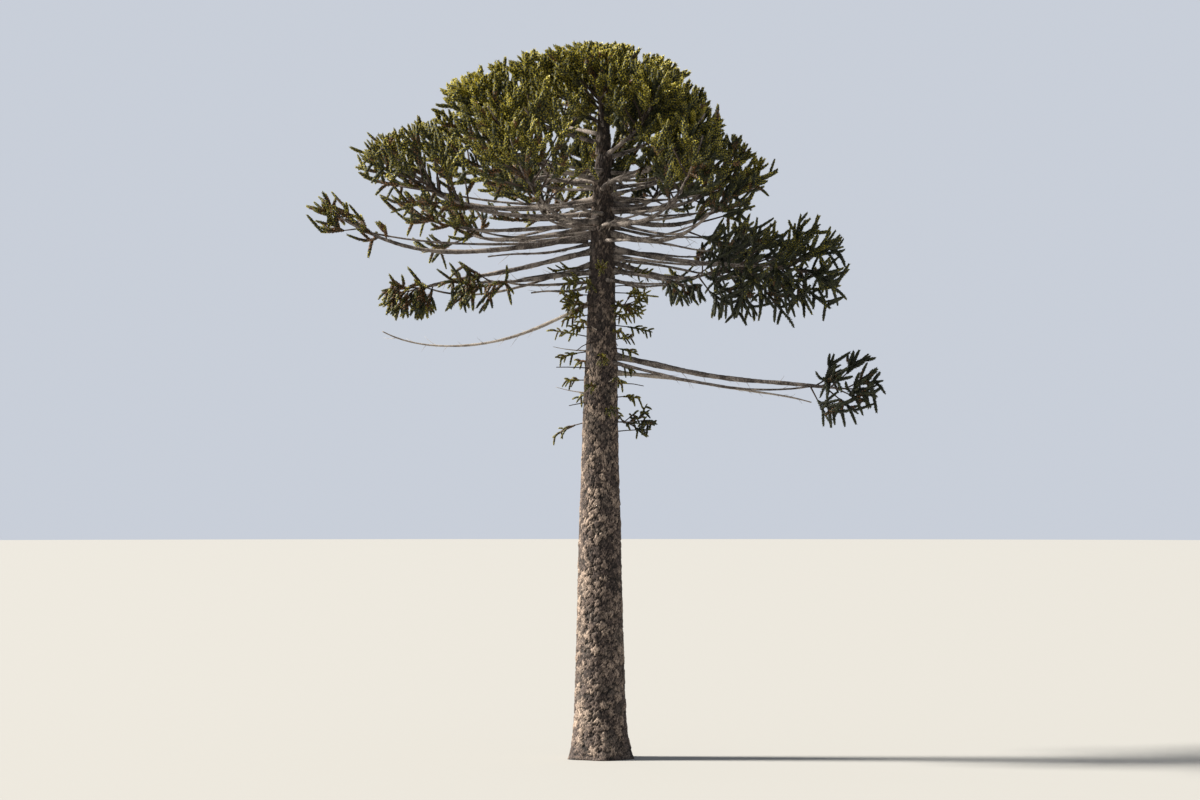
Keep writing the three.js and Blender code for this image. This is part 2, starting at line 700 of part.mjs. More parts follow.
const trunkCut = solidOf(trunkGeometry(SEAT_GAP));
addPiece('trunk', trunkGeometry().toNonIndexed(), barkGrey);
for (const bough of [...boughs.filter((one) => !one.hidden), ...deadBoughs]) {
  const limb = solidOf(skin(bough.stations, BOUGH_SIDES, bough.reference)).subtract(trunkCut);
  addPiece(`bough_${bough.name}`, geometryOf(wholePiece(limb)), bough.bare < 1 ? limbGrey : deadGrey);
}
for (const mass of masses) {
  addPiece(`foliage_${mass.name}`, geometryOf(massSolid(mass, masses, limbs, trunkCut)), leafGreen);
}

export default tree;
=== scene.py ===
"""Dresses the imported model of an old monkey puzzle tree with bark, limbs, twigs and shoots of scale
leaves."""

import math

import bpy
import numpy as np
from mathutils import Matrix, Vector


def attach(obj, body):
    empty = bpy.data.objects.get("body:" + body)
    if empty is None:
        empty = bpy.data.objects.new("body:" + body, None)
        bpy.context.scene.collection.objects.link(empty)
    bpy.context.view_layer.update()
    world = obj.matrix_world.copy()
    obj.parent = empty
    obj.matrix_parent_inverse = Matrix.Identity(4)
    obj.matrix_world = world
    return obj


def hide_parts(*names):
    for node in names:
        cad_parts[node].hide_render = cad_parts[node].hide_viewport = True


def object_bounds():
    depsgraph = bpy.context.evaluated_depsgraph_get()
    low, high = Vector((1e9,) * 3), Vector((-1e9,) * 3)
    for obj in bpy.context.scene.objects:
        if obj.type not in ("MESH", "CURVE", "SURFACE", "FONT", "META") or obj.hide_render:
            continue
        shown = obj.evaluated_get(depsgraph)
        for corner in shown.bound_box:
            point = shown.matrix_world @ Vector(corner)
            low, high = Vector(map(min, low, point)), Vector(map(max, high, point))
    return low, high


bl_info = {
    "name": "Monkey puzzle tree",
    "version": (1, 0, 0),
    "blender": (4, 5, 0),
    "location": "View3D > Sidebar > Tree",
    "description": "Builds the bark, limbs, twigs and leaves of an old monkey puzzle tree",
    "category": "Object",
}

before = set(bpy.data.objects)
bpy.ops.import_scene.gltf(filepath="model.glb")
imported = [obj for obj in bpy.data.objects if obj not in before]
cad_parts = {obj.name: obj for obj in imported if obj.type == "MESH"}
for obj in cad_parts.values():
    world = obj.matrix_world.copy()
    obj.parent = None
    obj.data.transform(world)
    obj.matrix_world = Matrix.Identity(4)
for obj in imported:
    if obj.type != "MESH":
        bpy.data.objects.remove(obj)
CAD_BOX = [list(corner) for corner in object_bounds()]
FOLIAGE_NODES = sorted(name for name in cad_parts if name.startswith("foliage_"))
BOUGH_NODES = sorted(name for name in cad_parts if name.startswith("bough_"))
DEAD_NODES = [name for name in BOUGH_NODES if name.startswith("bough_dead")]

# The panel's sizes, which read_settings fills in.
SETTINGS = {}

# The source's named sizes, in metres.
TREE_HEIGHT = 20.0
TRUNK_TOP = 0.965 * TREE_HEIGHT
TRUNK_END = 0.925 * TREE_HEIGHT
TRUNK_RADIUS = 0.72
TRUNK_TAPER = 0.6
TRUNK_LEAN = 0.11
TRUNK_SWAY = 0.06
FLARE_SHARE = 0.34
FLARE_HEIGHT = 0.52
FLARE_LOBES = 5
FLARE_TURN = 0.8
LOBE_DEPTH = 0.3
DOME_BASE = 0.815 * TREE_HEIGHT
DOME_RADIUS = 4.95
DOME_POWER = 2
LOPSIDED = 0.195
DOME = {"widen": 1, "top": TREE_HEIGHT - DOME_BASE, "belly": 1.1}
BRIM = {"widen": 1.35, "top": 2.2, "belly": 1.8}
CROWN_FLOOR = 14.95
CROWN_HOLLOW = 0.85
WHORL_TURN_VARIES = 9
WHORL_FOOT_VARIES = 0.42
WHORL_TIP_VARIES = 0.22
WHORL_REACH_VARIES = 0.04
WANDER_SIDE = 0.022
WANDER_UP = 0.008
WAVES_SIDE = 5
WAVES_UP = 9
BOUGH_FOOT_SHARE = 1.12
BOUGH_THINS = 0.5
DEAD_THINS = 0.72
STEM_GIRTH = 0.62
STEM_END_SHARE = 0.32
STEM_END = 0.99
TUFT_CURVE = 0.18
LIMB_CLEAR = 0.02
SPACE_CLEAR = 0.025
SPRAY_LENGTH = 1.05
SPRAY_GIRTH = 0.6
FREE_CHECKS = 12
SPREAD_LIMIT = 1.45
TWIG_FIRST = 0.6
TWIG_LEAN = 0.35
TWIG_LEAN_GAIN = 0.75
TWIG_FLATNESS = 0.7
TWIG_LENGTH = 0.7
TWIG_LENGTH_VARIES = 0.15
TWIG_BEND = 0.3
TWIG_TESTED_FROM = 0.12
TWIG_LEAST_FREE = 0.75
TWIG_LEAST_BARE = 0.08
SIDE_FIRST = 1.05
SIDE_RUN = 0.75
SIDE_TURN = 1.7
SIDE_SPREAD = 0.85
SIDE_LIFT = 0.7
SIDE_LENGTH = 0.8
SIDE_LENGTH_VARIES = 0.3
SIDE_BEND = 0.12
SIDE_TESTED_FROM = 0.3
SIDE_LEAST_FREE = 0.6
DOME_LIMIT = 0.965
LEADER_SEED = 39
TUFT_SEED = 40
DEAD_SEED = 99
BOUGH_STEPS = 4
STEM_STEPS = 3
FINE_STEPS = 10
ANY_ANGLE = 6
STEEP = 0.8
GOLDEN = math.radians(137.508)
UP = np.array([0.0, 0.0, 1.0])


def rows(columns, *table):
    """Each row of a table as a dictionary, with the names of its columns as keys."""
    return [dict(zip(columns.split(), row)) for row in table]


# The source's tables, in metres and degrees. rust is the share of a mass's shoots that have browned.
WHORLS = rows(
    "name count turn foot tip reach dip bare spread thick twigs lift size fork rust",
    ("upper", 4, 30, 17.0, 18.4, 3.5, 0.9, 0.34, 1.7, 0.064, 18, 0.45, 1, 0, 0.0),
    ("shoulder", 5, 18, 16.2, 17.65, 4.5, 0.2, 0.42, 1.7, 0.07, 19, 0.35, 1, 0, 0.12),
    ("broad", 6, 0, 15.3, 16.9, 5.15, -0.7, 0.6, 1.7, 0.076, 15, 0.3, 1, 0, 0.3),
    ("under", 2, -40, 14.6, 15.35, 4.7, -1.1, 0.68, 1.05, 0.076, 6, 0.2, 0.9, 2, 0.3),
)
LONE_BOUGHS = rows(
    "name azimuth foot tip reach dip bare spread thick twigs lift size fork rust",
    ("left_rim", 169, 15.58, 16.75, 6.15, -1.0, 0.76, 1.05, 0.074, 10, 0.2, 0.8, 1.6, 0.3),
    ("long_left", 184, 14.6, 15.1, 7.55, -1.6, 0.78, 0.55, 0.08, 6, 0.15, 0.62, 1.8, 0.55),
    ("mid_left", 199, 14.95, 14.75, 4.6, -0.8, 0.76, 0.6, 0.072, 5, 0.15, 0.62, 1.8, 0.35),
    ("low_left", 190, 14.15, 12.95, 5.45, -1.3, 0.86, 0.65, 0.074, 6, -0.45, 0.68, 2, 0.35),
    ("near_left", 201, 13.55, 13.1, 4.1, -0.6, 0.66, 0.65, 0.064, 6, -0.3, 0.72, 2, 0.3),
    ("right_rim", 357, 15.05, 16.3, 4.35, -0.9, 0.72, 0.8, 0.074, 9, 0.3, 0.85, 1.8, 0.05),
    ("right_arm", 352, 14.2, 13.6, 5.4, -1.0, 0.54, 1.2, 0.084, 13, 0, 0.85, 1.8, 0.06),
    ("right_hang", 340, 13.6, 13.05, 2.75, -0.5, 0.62, 0.6, 0.056, 5, -0.3, 0.62, 2, 0.6),
    ("lowest_right", 348, 11.25, 10.25, 6.9, -1.5, 0.84, 0.85, 0.082, 5, 0.1, 0.75, 2, 0.25),
    ("low_back", 38, 13.9, 14.1, 4.9, -1.2, 0.64, 1.05, 0.072, 8, 0, 0.8, 2, 0.2),
)
DEAD_BOUGHS = rows(
    "name azimuth foot tip reach dip thick",
    ("dead_left", 181, 12.8, 11.9, 6.1, -3.0, 0.058),
    ("dead_right", 5, 10.75, 9.85, 5.9, -0.55, 0.066),
)
TUFT_COLUMNS = "name azimuth foot length rise spread thick twigs lift size fork rust"
CROWN_TOPS = rows(
    TUFT_COLUMNS,
    ("top_front", 262, 17.5, 2.0, 0.6, 1.5, 0.056, 19, 0.4, 1, 0, 0.2),
    ("top_left", 150, 17.6, 2.3, 0.6, 1.5, 0.056, 19, 0.4, 1, 0, 0.0),
    ("top_right", 20, 17.7, 1.9, 0.6, 1.5, 0.056, 19, 0.4, 1, 0, 0.0),
)
TUFTS = rows(
    TUFT_COLUMNS,
    ("tuft_left_high", 192, 12.6, 0.88, -0.1, 0.32, 0.03, 4, -0.05, 0.34, 2, 0.25),
    ("tuft_right_high", 338, 12.55, 1.05, -0.05, 0.38, 0.032, 4, 0, 0.38, 2, 0.4),
    ("tuft_right_low", 356, 9.4, 1.2, -0.2, 0.38, 0.032, 4, 0, 0.38, 2, 0.2),
)
LEADER = {"name": "top_leader", "length": 0.9, "spread": 1.5, "thick": 0.06, "twigs": 20, "lift": 0.15,
          "size": 1, "fork": 0, "rust": 0.0}

# Bare twigs low on the trunk, which are in the scene only.
TRUNK_TWIGS = rows(
    "azimuth foot length rise thick",
    (183, 11.35, 1.35, -0.12, 0.02),
    (178, 10.15, 1.25, -0.05, 0.018),
    (35, 12.1, 0.9, 0.1, 0.016),
    (250, 11.9, 0.8, -0.1, 0.016),
    (120, 10.7, 1.0, -0.08, 0.018),
    (300, 10.4, 0.7, 0.0, 0.015),
)

# Thin limbs without leaves that stand by themselves, which are in the scene only. tip is the height of
# the end.
THIN_LIMBS = rows(
    "azimuth foot tip reach sag",
    (354, 14.8, 14.4, 3.3, 0.06),
    (350, 14.58, 14.05, 3.1, 0.05),
    (351, 13.95, 13.35, 3.8, 0.06),
    (347, 13.32, 13.1, 2.0, 0.05),
    (357, 14.1, 13.95, 2.8, 0.05),
    (178, 14.35, 13.95, 3.2, 0.05),
    (186, 13.8, 13.1, 3.2, 0.06),
    (172, 13.2, 12.95, 2.0, 0.05),
    (8, 15.3, 15.2, 3.0, 0.1),
)

# How much finer than the source the scene carries the rule, for each kind of mass: how many times as many
# twigs, the side shoots on a spray, their length, their girth as a share of a full shoot's, the leaves on
# a metre, how far they turn upwards as they bend, and how many tones of painted light they are lifted.
KINDS = {row["kind"]: row for row in rows(
    "kind finer shoots length girth leaves rises lighter",
    ("dome", 1.8, 6, 0.44, 0.88, 60, 0.0, 0.0),
    ("brim", 1.6, 6, 0.52, 0.78, 56, 0.5, 0.0),
    ("open", 1.5, 6, 0.5, 0.68, 60, 1.0, 0.0),
    ("tuft", 2.0, 4, 0.22, 0.42, 110, 0.0, 0.7),
    ("sprig", 1.0, 8, 0.2, 0.42, 110, 0.0, 0.9),
)}

# How far past the CAD model's box a twig's middle may go, how short a finer twig may be beside the
# source's, how many points are measured at once, the level part below which a direction is taken as
# upright, and the reference across steep tubes.
BOX_ROOM = 0.1
FINER_LEAST = 0.8
POINTS_AT_ONCE = 4000
UPRIGHT = 0.05
SIDEWAYS = np.array([1.0, 0.2, 0.0])

# Side shoots: their lean along the spray, where the first stands and the run of the rest, how far they
# stray and bend, the steepness below which they hang and how much it varies, the share of their girth
# kept clear, how much shorter some end, and the point that they bend away from.
FAN_LEAN = 0.7
FAN_FIRST = 0.12
FAN_RUN = 0.84
FAN_STRAYS = 0.32
FAN_BEND = 0.5
FAN_HANGS = -0.3
FAN_HANGS_VARIES = 0.2
FAN_CLEAR = 0.5
FAN_SHORTENS = 0.3
CROWN_HEART = np.array([0.0, 0.0, 13.0])

# Sprigs on the trunk: how many, the heights between which they stand, how much closer together they are
# at the top, the first one's turn, the share of the trunk's radius where they start, their length, slope,
# droop and how much each varies, their bare share, girth and rust, and every which one of them is bare.
SPRIG_COUNT = 52
SPRIG_LOWEST = 8.8
SPRIG_HIGHEST = 13.7
SPRIG_CROWDING = 0.62
SPRIG_TURN = 10
SPRIG_ROOT = 0.9
SPRIG_LENGTH = 0.86
SPRIG_LENGTH_VARIES = 0.42
SPRIG_SLOPE = 0.06
SPRIG_SLOPE_VARIES = 0.22
SPRIG_DROOP = 0.14
SPRIG_DROOP_VARIES = 0.8
SPRIG_BARE = 0.35
SPRIG_GIRTH = 0.55
SPRIG_RUST = 0.28
BARE_SPRIG_EVERY = 4
SPRIG_SEED = 5000.0

# Leafy shoots: the girth of the stem inside, how a shoot and its stem swell along their length, how much
# the girth, the leaves' reach and their length and the first leaf's turn vary, how deep in the stem a
# leaf starts, and where its keel is.
CORE_GIRTH = 0.72
SHOOT_PLACES = [0, 0.15, 0.7, 1]
SHOOT_SWELLS = [0.8, 1, 0.95, 0.5]
CORE_PLACES = np.array([0.0, 0.45, 0.85, 1.0])
CORE_SWELLS = np.array([0.8, 1.0, 0.9, 0.5])
SHOOT_GIRTH_VARIES = 0.14
LEAF_REACH_VARIES = 0.12
LEAF_LENGTH_VARIES = 0.2
LEAF_TURN_VARIES = 6.3
LEAF_DEPTH = 0.85
KEEL_FORWARDS = 0.35
KEEL_OUT = 0.1
SHOOT_SIDES = 4
LEAVES_PER_PIECE = 45000

# A bare twig's radius at its foot and how much it thins, as shares.
TWIG_FOOT_SHARE = 1.15
TWIG_THINS = 0.35
TWIG_RINGS = 4
TWIG_SIDES = 5

# Keys of the shoots' chances: a mass's first, its side sprays' first, and the step from one side shoot
# on a spray to the next.
MASS_KEYS = 1000
SIDE_SPRAY_KEYS = 100.0
SIDE_SHOOT_KEYS = 0.1

# Leaf tones: how much lighter they are with height, outwards and towards the sun, as painted light, how much
# they vary by shoot and by spray, the steps from one tone to the next, and the shares of a shoot whose tip is
# lighter, for young growth and a painted highlight, whose base is darker with painted shade, and which may
# be brown.
TONES = ("leaf_shade", "leaf_deep", "leaf_mid", "leaf_olive", "leaf_yellow", "leaf_rust")
TONE_BY_HEIGHT = 0.6
TONE_OUTWARDS = 0.25
TONE_SUNWARDS = 0.05
TONE_VARIES = 0.14
TONE_SPRAY_VARIES = 0.25
TONE_STEPS = [0.02, 0.3, 0.58]
TIP_SHARE = 0.7
BASE_SHARE = 0.3
BROWN_SHARE = 0.6

# The crown's underside: how far its sunny side reaches, the share of the tables' rust that shows, how
# much rust and painted light it adds there, how fast that rust fades with height, and how fast that painted
# light grows downwards.
SUN_SIDE = 0.4
RUST_SHOWS = 0.7
UNDERSIDE_RUST = 0.55
UNDERSIDE_LIGHT = 0.25
RUST_FADES = 2.2
LIGHT_GROWS = 4

# Limbs: corners round them and rings along them, where they start as a share of the trunk's radius, the
# size of their collars and how far they reach, how uneven, swollen and oval limbs are, and the waves of
# that along them.
LIMB_SIDES = 12
LIMB_RINGS = 90
STEM_RINGS = 40
DEAD_RINGS = 150
TRUNK_TWIG_RINGS = 24
LIMB_ROOT = 0.35
BOUGH_COLLAR = 0.45
STEM_COLLAR = 0.3
DEAD_COLLAR = 0.5
TRUNK_TWIG_ROOT = 0.8
TRUNK_TWIG_FOOT = 1.25
TRUNK_TWIG_THINS = 0.9
LIMB_ROUGH = 0.07
LIMB_SWELL = 0.07
LIMB_SWELL_WAVES = 37
LIMB_OVAL = 0.05
LIMB_OVAL_WAVES = 21
COLLAR_REACH = 0.16

# Thin limbs: their radius and how much it falls, beside boughs and alone, their rings, collar and start,
# how far above or below a bough they leave the trunk, where on the bough they end, how far aside and down
# they curve, and their wander.
THIN_RADIUS = 0.05
THIN_THINS = 0.028
PLACED_THINS = 0.03
THIN_RINGS = 60
THIN_COLLAR = 0.4
THIN_START = 0.06
PLACED_ROOT = 0.3
THIN_ABOVE = 0.16
THIN_ABOVE_VARIES = 0.14
THIN_JOINS = 0.1
THIN_JOINS_VARIES = 0.4
THIN_ASIDE = 0.25
THIN_ASIDE_VARIES = 0.45
THIN_SAG = 0.02
THIN_SAG_VARIES = 0.06
THIN_WANDER = 0.06
THIN_WAVES = 7
PLACED_WANDER = 0.05
PLACED_WAVES = 6

# Dead sprigs on limbs: where the first stands and the run of the rest, their lean forwards and to the
# side, how much their slope varies and how far they droop, their length, how much it and their bend vary,
# and how they thin.
STUB_FIRST = 0.3
STUB_RUN = 0.68
STUB_LEAN = 0.7
STUB_ASIDE = 0.8
STUB_SLOPE_VARIES = 0.7
STUB_DROOP = 0.1
STUB_LENGTH = 0.22
STUB_LENGTH_VARIES = 0.4
STUB_BEND_VARIES = 0.35
STUB_THINS = 0.75
STUB_RINGS = 5
STUB_SIDES = 4

# The bare share of each kind of limb where its dead sprigs stand, their number and their radius.
BOUGH_STUBS = 7
BOUGH_STUB_RADIUS = 0.011
THIN_BARE = 0.9
THIN_STUBS = 5
THIN_STUB_RADIUS = 0.009
PLACED_BARE = 0.95
PLACED_STUBS = 7
DEAD_BARE = 0.97
DEAD_STUBS = 16
DEAD_STUB_RADIUS = 0.008

# The first seeds of thin limbs beside boughs and alone, of twigs on the trunk and of the dead sprigs on
# thin limbs, and the step from a bough's first thin limb to its second.
THIN_SEED = 300
PLACED_SEED = 500
TRUNK_TWIG_SEED = 200
STUB_SEED = 100
THIN_SEED_STEP = 50

# The trunk's grid: columns round it and rows up it.
TRUNK_COLUMNS = 144
TRUNK_ROWS = 500

# Bark plates: how many round the trunk, how far their edges waver and their middles stray, the width of
# an edge, how much shallower fissures are at the top, the levels of plates and fissures, the old rings'
# spacing, height, width and how far they waver, the depth and number of broad furrows, the collars round
# boughs, and how the relief fades at the ground.
PLATES_ROUND = 20
EDGE_WAVERS = 0.16
LEVEL_WAVERS = 0.14
LEVEL_WAVERS_FINE = 0.1
PLATE_STRAYS_ROUND = 0.42
PLATE_STRAYS_UP = 0.4
PLATE_EDGE = 0.065
DEPTH_FADES = 0.55
PLATE_LEVEL = 0.75
PLATE_LEVEL_VARIES = 0.5
FISSURE_LEVEL = 0.7
RING_SPACING = 0.62
RING_HEIGHT = 0.008
RING_WIDTH = 0.05
RING_WAVERS = 0.12
FURROW_DEPTH = 0.012
FURROWS_ROUND = 7
COLLAR_HEIGHT = 0.045
COLLAR_WIDTH = 2.2
FOOT_FADE = 0.1
FOOT_RELIEF = 0.2

# The stage: the sun's azimuth, height, size, strength and colour, the world's light and how much brighter it
# looks, the floor, and the camera's distance, height, lens and the height that it looks at.
SUN_AZIMUTH = 178
SUN_ELEVATION = math.radians(37)
SUN_SIZE = math.radians(9)
SUN_STRENGTH = 11.2
SUN_COLOUR = (1.0, 0.95, 0.86)
WORLD_LIGHT = 0.39
BACKDROP_EXTRA = 0.33
FLOOR_RADIUS = 400.0
FLOOR_SIDES = 96
VIEW_DISTANCE = 90.0
EYE_HEIGHT = 7.45
VIEW_CENTRE = 9.95
LENS = 97.0
CLIP_END = 2000.0


def linear(colour):
    """A linear colour from an sRGB hex string, by the standard curve."""
    channels = [int(colour[i : i + 2], 16) / 255 for i in (1, 3, 5)]
    return [c / 12.92 if c <= 0.04045 else ((c + 0.055) / 1.055) ** 2.4 for c in channels] + [1.0]


def chance(a, b, c):
    """A number from 0 to 1 that is always the same for the same three keys: the fraction of a large sine."""
    mixed = np.sin(a * 12.9898 + b * 78.233 + c * 37.719) * 43758.5453
    return mixed - np.floor(mixed)


def jitter(a, b, c, size):
    """A number from minus size to size for three keys."""
    return (2 * chance(a, b, c) - 1) * size


def outward(azimuth):
    """The level direction at an azimuth in degrees."""
    turn = np.radians(azimuth)
    return np.stack([np.cos(turn), np.sin(turn), 0 * turn], axis=-1)


def unit(vectors):
    """Vectors divided by their lengths."""
    return vectors / np.linalg.norm(vectors, axis=-1, keepdims=True)


def trunk_axis(height):
    """The trunk's centre: a lean with the cube of the height's share, and one sine of sway."""
    share = height / TRUNK_TOP
    sway = TRUNK_SWAY * np.sin(2 * np.pi * share)
    return np.stack([TRUNK_LEAN * share**3 - 0.5 * sway * share, sway, height], axis=-1)


def trunk_radius(height):
    """The trunk's radius: a power of the share of height that is left."""
    return TRUNK_RADIUS * np.maximum(1 - height / TRUNK_TOP, 0) ** TRUNK_TAPER


def flare(height, angle):
    """The root flare's factor: it fades with height, and is lobed round the foot."""
    lobes = 1 - LOBE_DEPTH + LOBE_DEPTH * np.cos(FLARE_LOBES * angle + FLARE_TURN)
    return 1 + FLARE_SHARE * np.exp(-height / FLARE_HEIGHT) * lobes


def dome_share(points, dome):
    """Below 1 inside a dome: the squares of the share of its radius, widened, and of its height, added."""
    above = points[..., 2] - DOME_BASE
    level = np.where(above > 0, above / dome["top"], -above / dome["belly"])
    azimuth = np.arctan2(points[..., 1], points[..., 0])
    radius = DOME_RADIUS * (1 - LOPSIDED * np.cos(azimuth))
    out = np.hypot(points[..., 0], points[..., 1]) / radius
    return out**DOME_POWER / dome["widen"] + level**DOME_POWER


def underside(points):
    """The height of the crown's underside: its floor, and a hollow that rises evenly towards the trunk."""
    out = np.hypot(points[..., 0], points[..., 1])
    return CROWN_FLOOR + CROWN_HOLLOW * np.maximum(1 - out / DOME_RADIUS, 0)


def bough_line(bough):
    """A bough's centre line: straight out, down by its dip, up with the cube of t, and two small waves."""
    out = outward(bough["azimuth"])
    side = np.array([-out[1], out[0], 0.0])
    base = trunk_axis(np.float64(bough["foot"]))
    reach = bough["reach"]
    rise = bough["tip"] - bough["foot"] - bough["dip"]
    phase = ANY_ANGLE * chance(bough["seed"], 7, 7)

    def line(t):
        t = np.asarray(t, float)[..., None]
        aside = WANDER_SIDE * reach * np.sin(WAVES_SIDE * t + phase) * t
        above = bough["dip"] * t + rise * t**3 + WANDER_UP * reach * np.sin(WAVES_UP * t + phase) * t
        return base + reach * t * out + aside * side + above * UP

    return line


def tuft_line(tuft):
    """The centre line of a stem on the trunk: straight along its slope, and up with t squared."""
    base = trunk_axis(np.float64(tuft["foot"]))
    heading = unit(outward(tuft["azimuth"]) + tuft["rise"] * UP)

    def line(t):
        t = np.asarray(t, float)[..., None]
        return base + tuft["length"] * (t * heading + TUFT_CURVE * t * t * UP)

    return line


def headings(line, t):
    """The direction of a centre line, from a small step to each side."""
    nudge = 1e-4
    return unit(line(t + nudge) - line(t - nudge))


class Shoots:
    """Many twigs or shoots at once. A point is the root, plus the length times the sum of t along the
    heading and t squared along the bend."""

    def __init__(self, root, heading, length, bend):
        self.root = root
        self.heading = heading
        self.length = length
        self.bend = np.broadcast_to(bend, heading.shape)

    def points(self, t):
        """Points at t, which has one row for each shoot."""
        t = t[..., None]
        along = t * self.heading[:, None] + t * t * self.bend[:, None]
        return self.root[:, None] + self.length[:, None, None] * along

    def headings(self, t):
        """Directions at t: the heading plus twice t along the bend."""
        return unit(self.heading[:, None] + 2 * t[..., None] * self.bend[:, None])

    def pick(self, which):
        """Some of the shoots."""
        return Shoots(self.root[which], self.heading[which], self.length[which], self.bend[which])


class Limb:
    """A run of stations on a centre line, with a radius at each."""

    def __init__(self, line, start, end, steps, radius_at):
        share = np.linspace(0, 1, steps + 1)
        self.at = line(start + (end - start) * share)
        self.radius = np.broadcast_to(radius_at(share), share.shape)


class Segments:
    """The stretches of many limbs, for distances from points."""

    def __init__(self, limbs):
        self.start = np.concatenate([limb.at[:-1] for limb in limbs])
        self.part = np.concatenate([limb.at[1:] - limb.at[:-1] for limb in limbs])
        self.first = np.concatenate([limb.radius[:-1] for limb in limbs])
        self.last = np.concatenate([limb.radius[1:] for limb in limbs])
        counts = [len(limb.at) - 1 for limb in limbs]
        self.begins = np.cumsum([0] + counts[:-1])

    def gaps(self, points):
        """Each point's distance to each limb, less the limb's radius there."""
        best = []
        for block in np.array_split(points, max(len(points) // POINTS_AT_ONCE, 1)):
            away = block[:, None] - self.start
            share = np.clip((away * self.part).sum(-1) / (self.part**2).sum(-1), 0, 1)
            distance = np.linalg.norm(away - share[..., None] * self.part, axis=-1)
            gap = distance - (self.first + (self.last - self.first) * share)
            best.append(np.minimum.reduceat(gap, self.begins, axis=1))
        return np.concatenate(best)


def make_boughs():
    """Every bough, with its own small differences from the others of its whorl, as the source gives them."""
    boughs = []
    for row, whorl in enumerate(WHORLS):
        for k in range(whorl["count"]):
            azimuth = whorl["turn"] + 360 * k / whorl["count"] + jitter(row, k, 1, WHORL_TURN_VARIES)
            wide = 1 - LOPSIDED * math.cos(math.radians(azimuth))
            bough = dict(whorl, name=f"{whorl['name']}_{k + 1}", azimuth=azimuth)
            bough["foot"] = whorl["foot"] + jitter(row, k, 2, WHORL_FOOT_VARIES)
            bough["tip"] = whorl["tip"] + jitter(row, k, 3, WHORL_TIP_VARIES)
            bough["reach"] = whorl["reach"] * wide * (1 + jitter(row, k, 4, WHORL_REACH_VARIES))
            bough["dome"] = BRIM if whorl["name"] == "broad" else DOME
            bough["dense"] = whorl["name"] != "under"
            bough["hidden"] = whorl["name"] == "upper"
            bough["kind"] = {"broad": "brim", "under": "open"}.get(whorl["name"], "dome")
            boughs.append(bough)
    boughs += [dict(bough, dense=False, hidden=False, dome=DOME, kind="open") for bough in LONE_BOUGHS]
    for seed, bough in enumerate(boughs):
        bough["seed"] = seed
        bough["line"] = bough_line(bough)
    return boughs


def make_dead_boughs():
    """The boughs that have lost all their leaves."""
    dead = [dict(bough, seed=DEAD_SEED + k) for k, bough in enumerate(DEAD_BOUGHS)]
    for bough in dead:
        bough["line"] = bough_line(bough)
    return dead


def dead_radius(bough):
    """A dead bough's radius: its thickness times a share that falls evenly to a finer tip."""
    return lambda share: bough["thick"] * (1 - DEAD_THINS * share)


def stem_radius(mass):
    """The stem's radius: its thickness times a straight fall from its girth to its end share."""
    return lambda share: mass["thick"] * (mass["girth"] + (STEM_END_SHARE - mass["girth"]) * share)


def bough_radius(bough):
    """A bough's radius along its bare stretch: its thickness times a share that falls evenly."""
    return lambda share: bough["thick"] * (BOUGH_FOOT_SHARE - BOUGH_THINS * share)


def make_masses(boughs):
    """Every mass of foliage with its stem's line: on a bough's end, on the trunk's side or on its top."""
    masses = []
    for bough in boughs:
        start = 0.0 if bough["hidden"] else bough["bare"]
        girth = 1.0 if bough["hidden"] else STEM_GIRTH
        masses.append(dict(bough, leafy=bough["bare"], start=start, girth=girth))
    end = trunk_axis(np.float64(TRUNK_END))
    leader = dict(LEADER, seed=LEADER_SEED, leafy=0.0, start=0.0, girth=STEM_GIRTH, dome=DOME)
    leader.update(dense=True, hidden=True, kind="dome")
    leader["line"] = lambda t: end + LEADER["length"] * np.asarray(t, float)[..., None] * UP
    masses.append(leader)
    for k, tuft in enumerate(CROWN_TOPS + TUFTS):
        start = 0.5 * trunk_radius(tuft["foot"]) / tuft["length"]
        mass = dict(tuft, seed=TUFT_SEED + k, leafy=start, start=start, girth=STEM_GIRTH, dome=DOME)
        dense = k < len(CROWN_TOPS)
        mass.update(dense=dense, hidden=True, kind="dome" if dense else "tuft", line=tuft_line(tuft))
        masses.append(mass)
    return masses


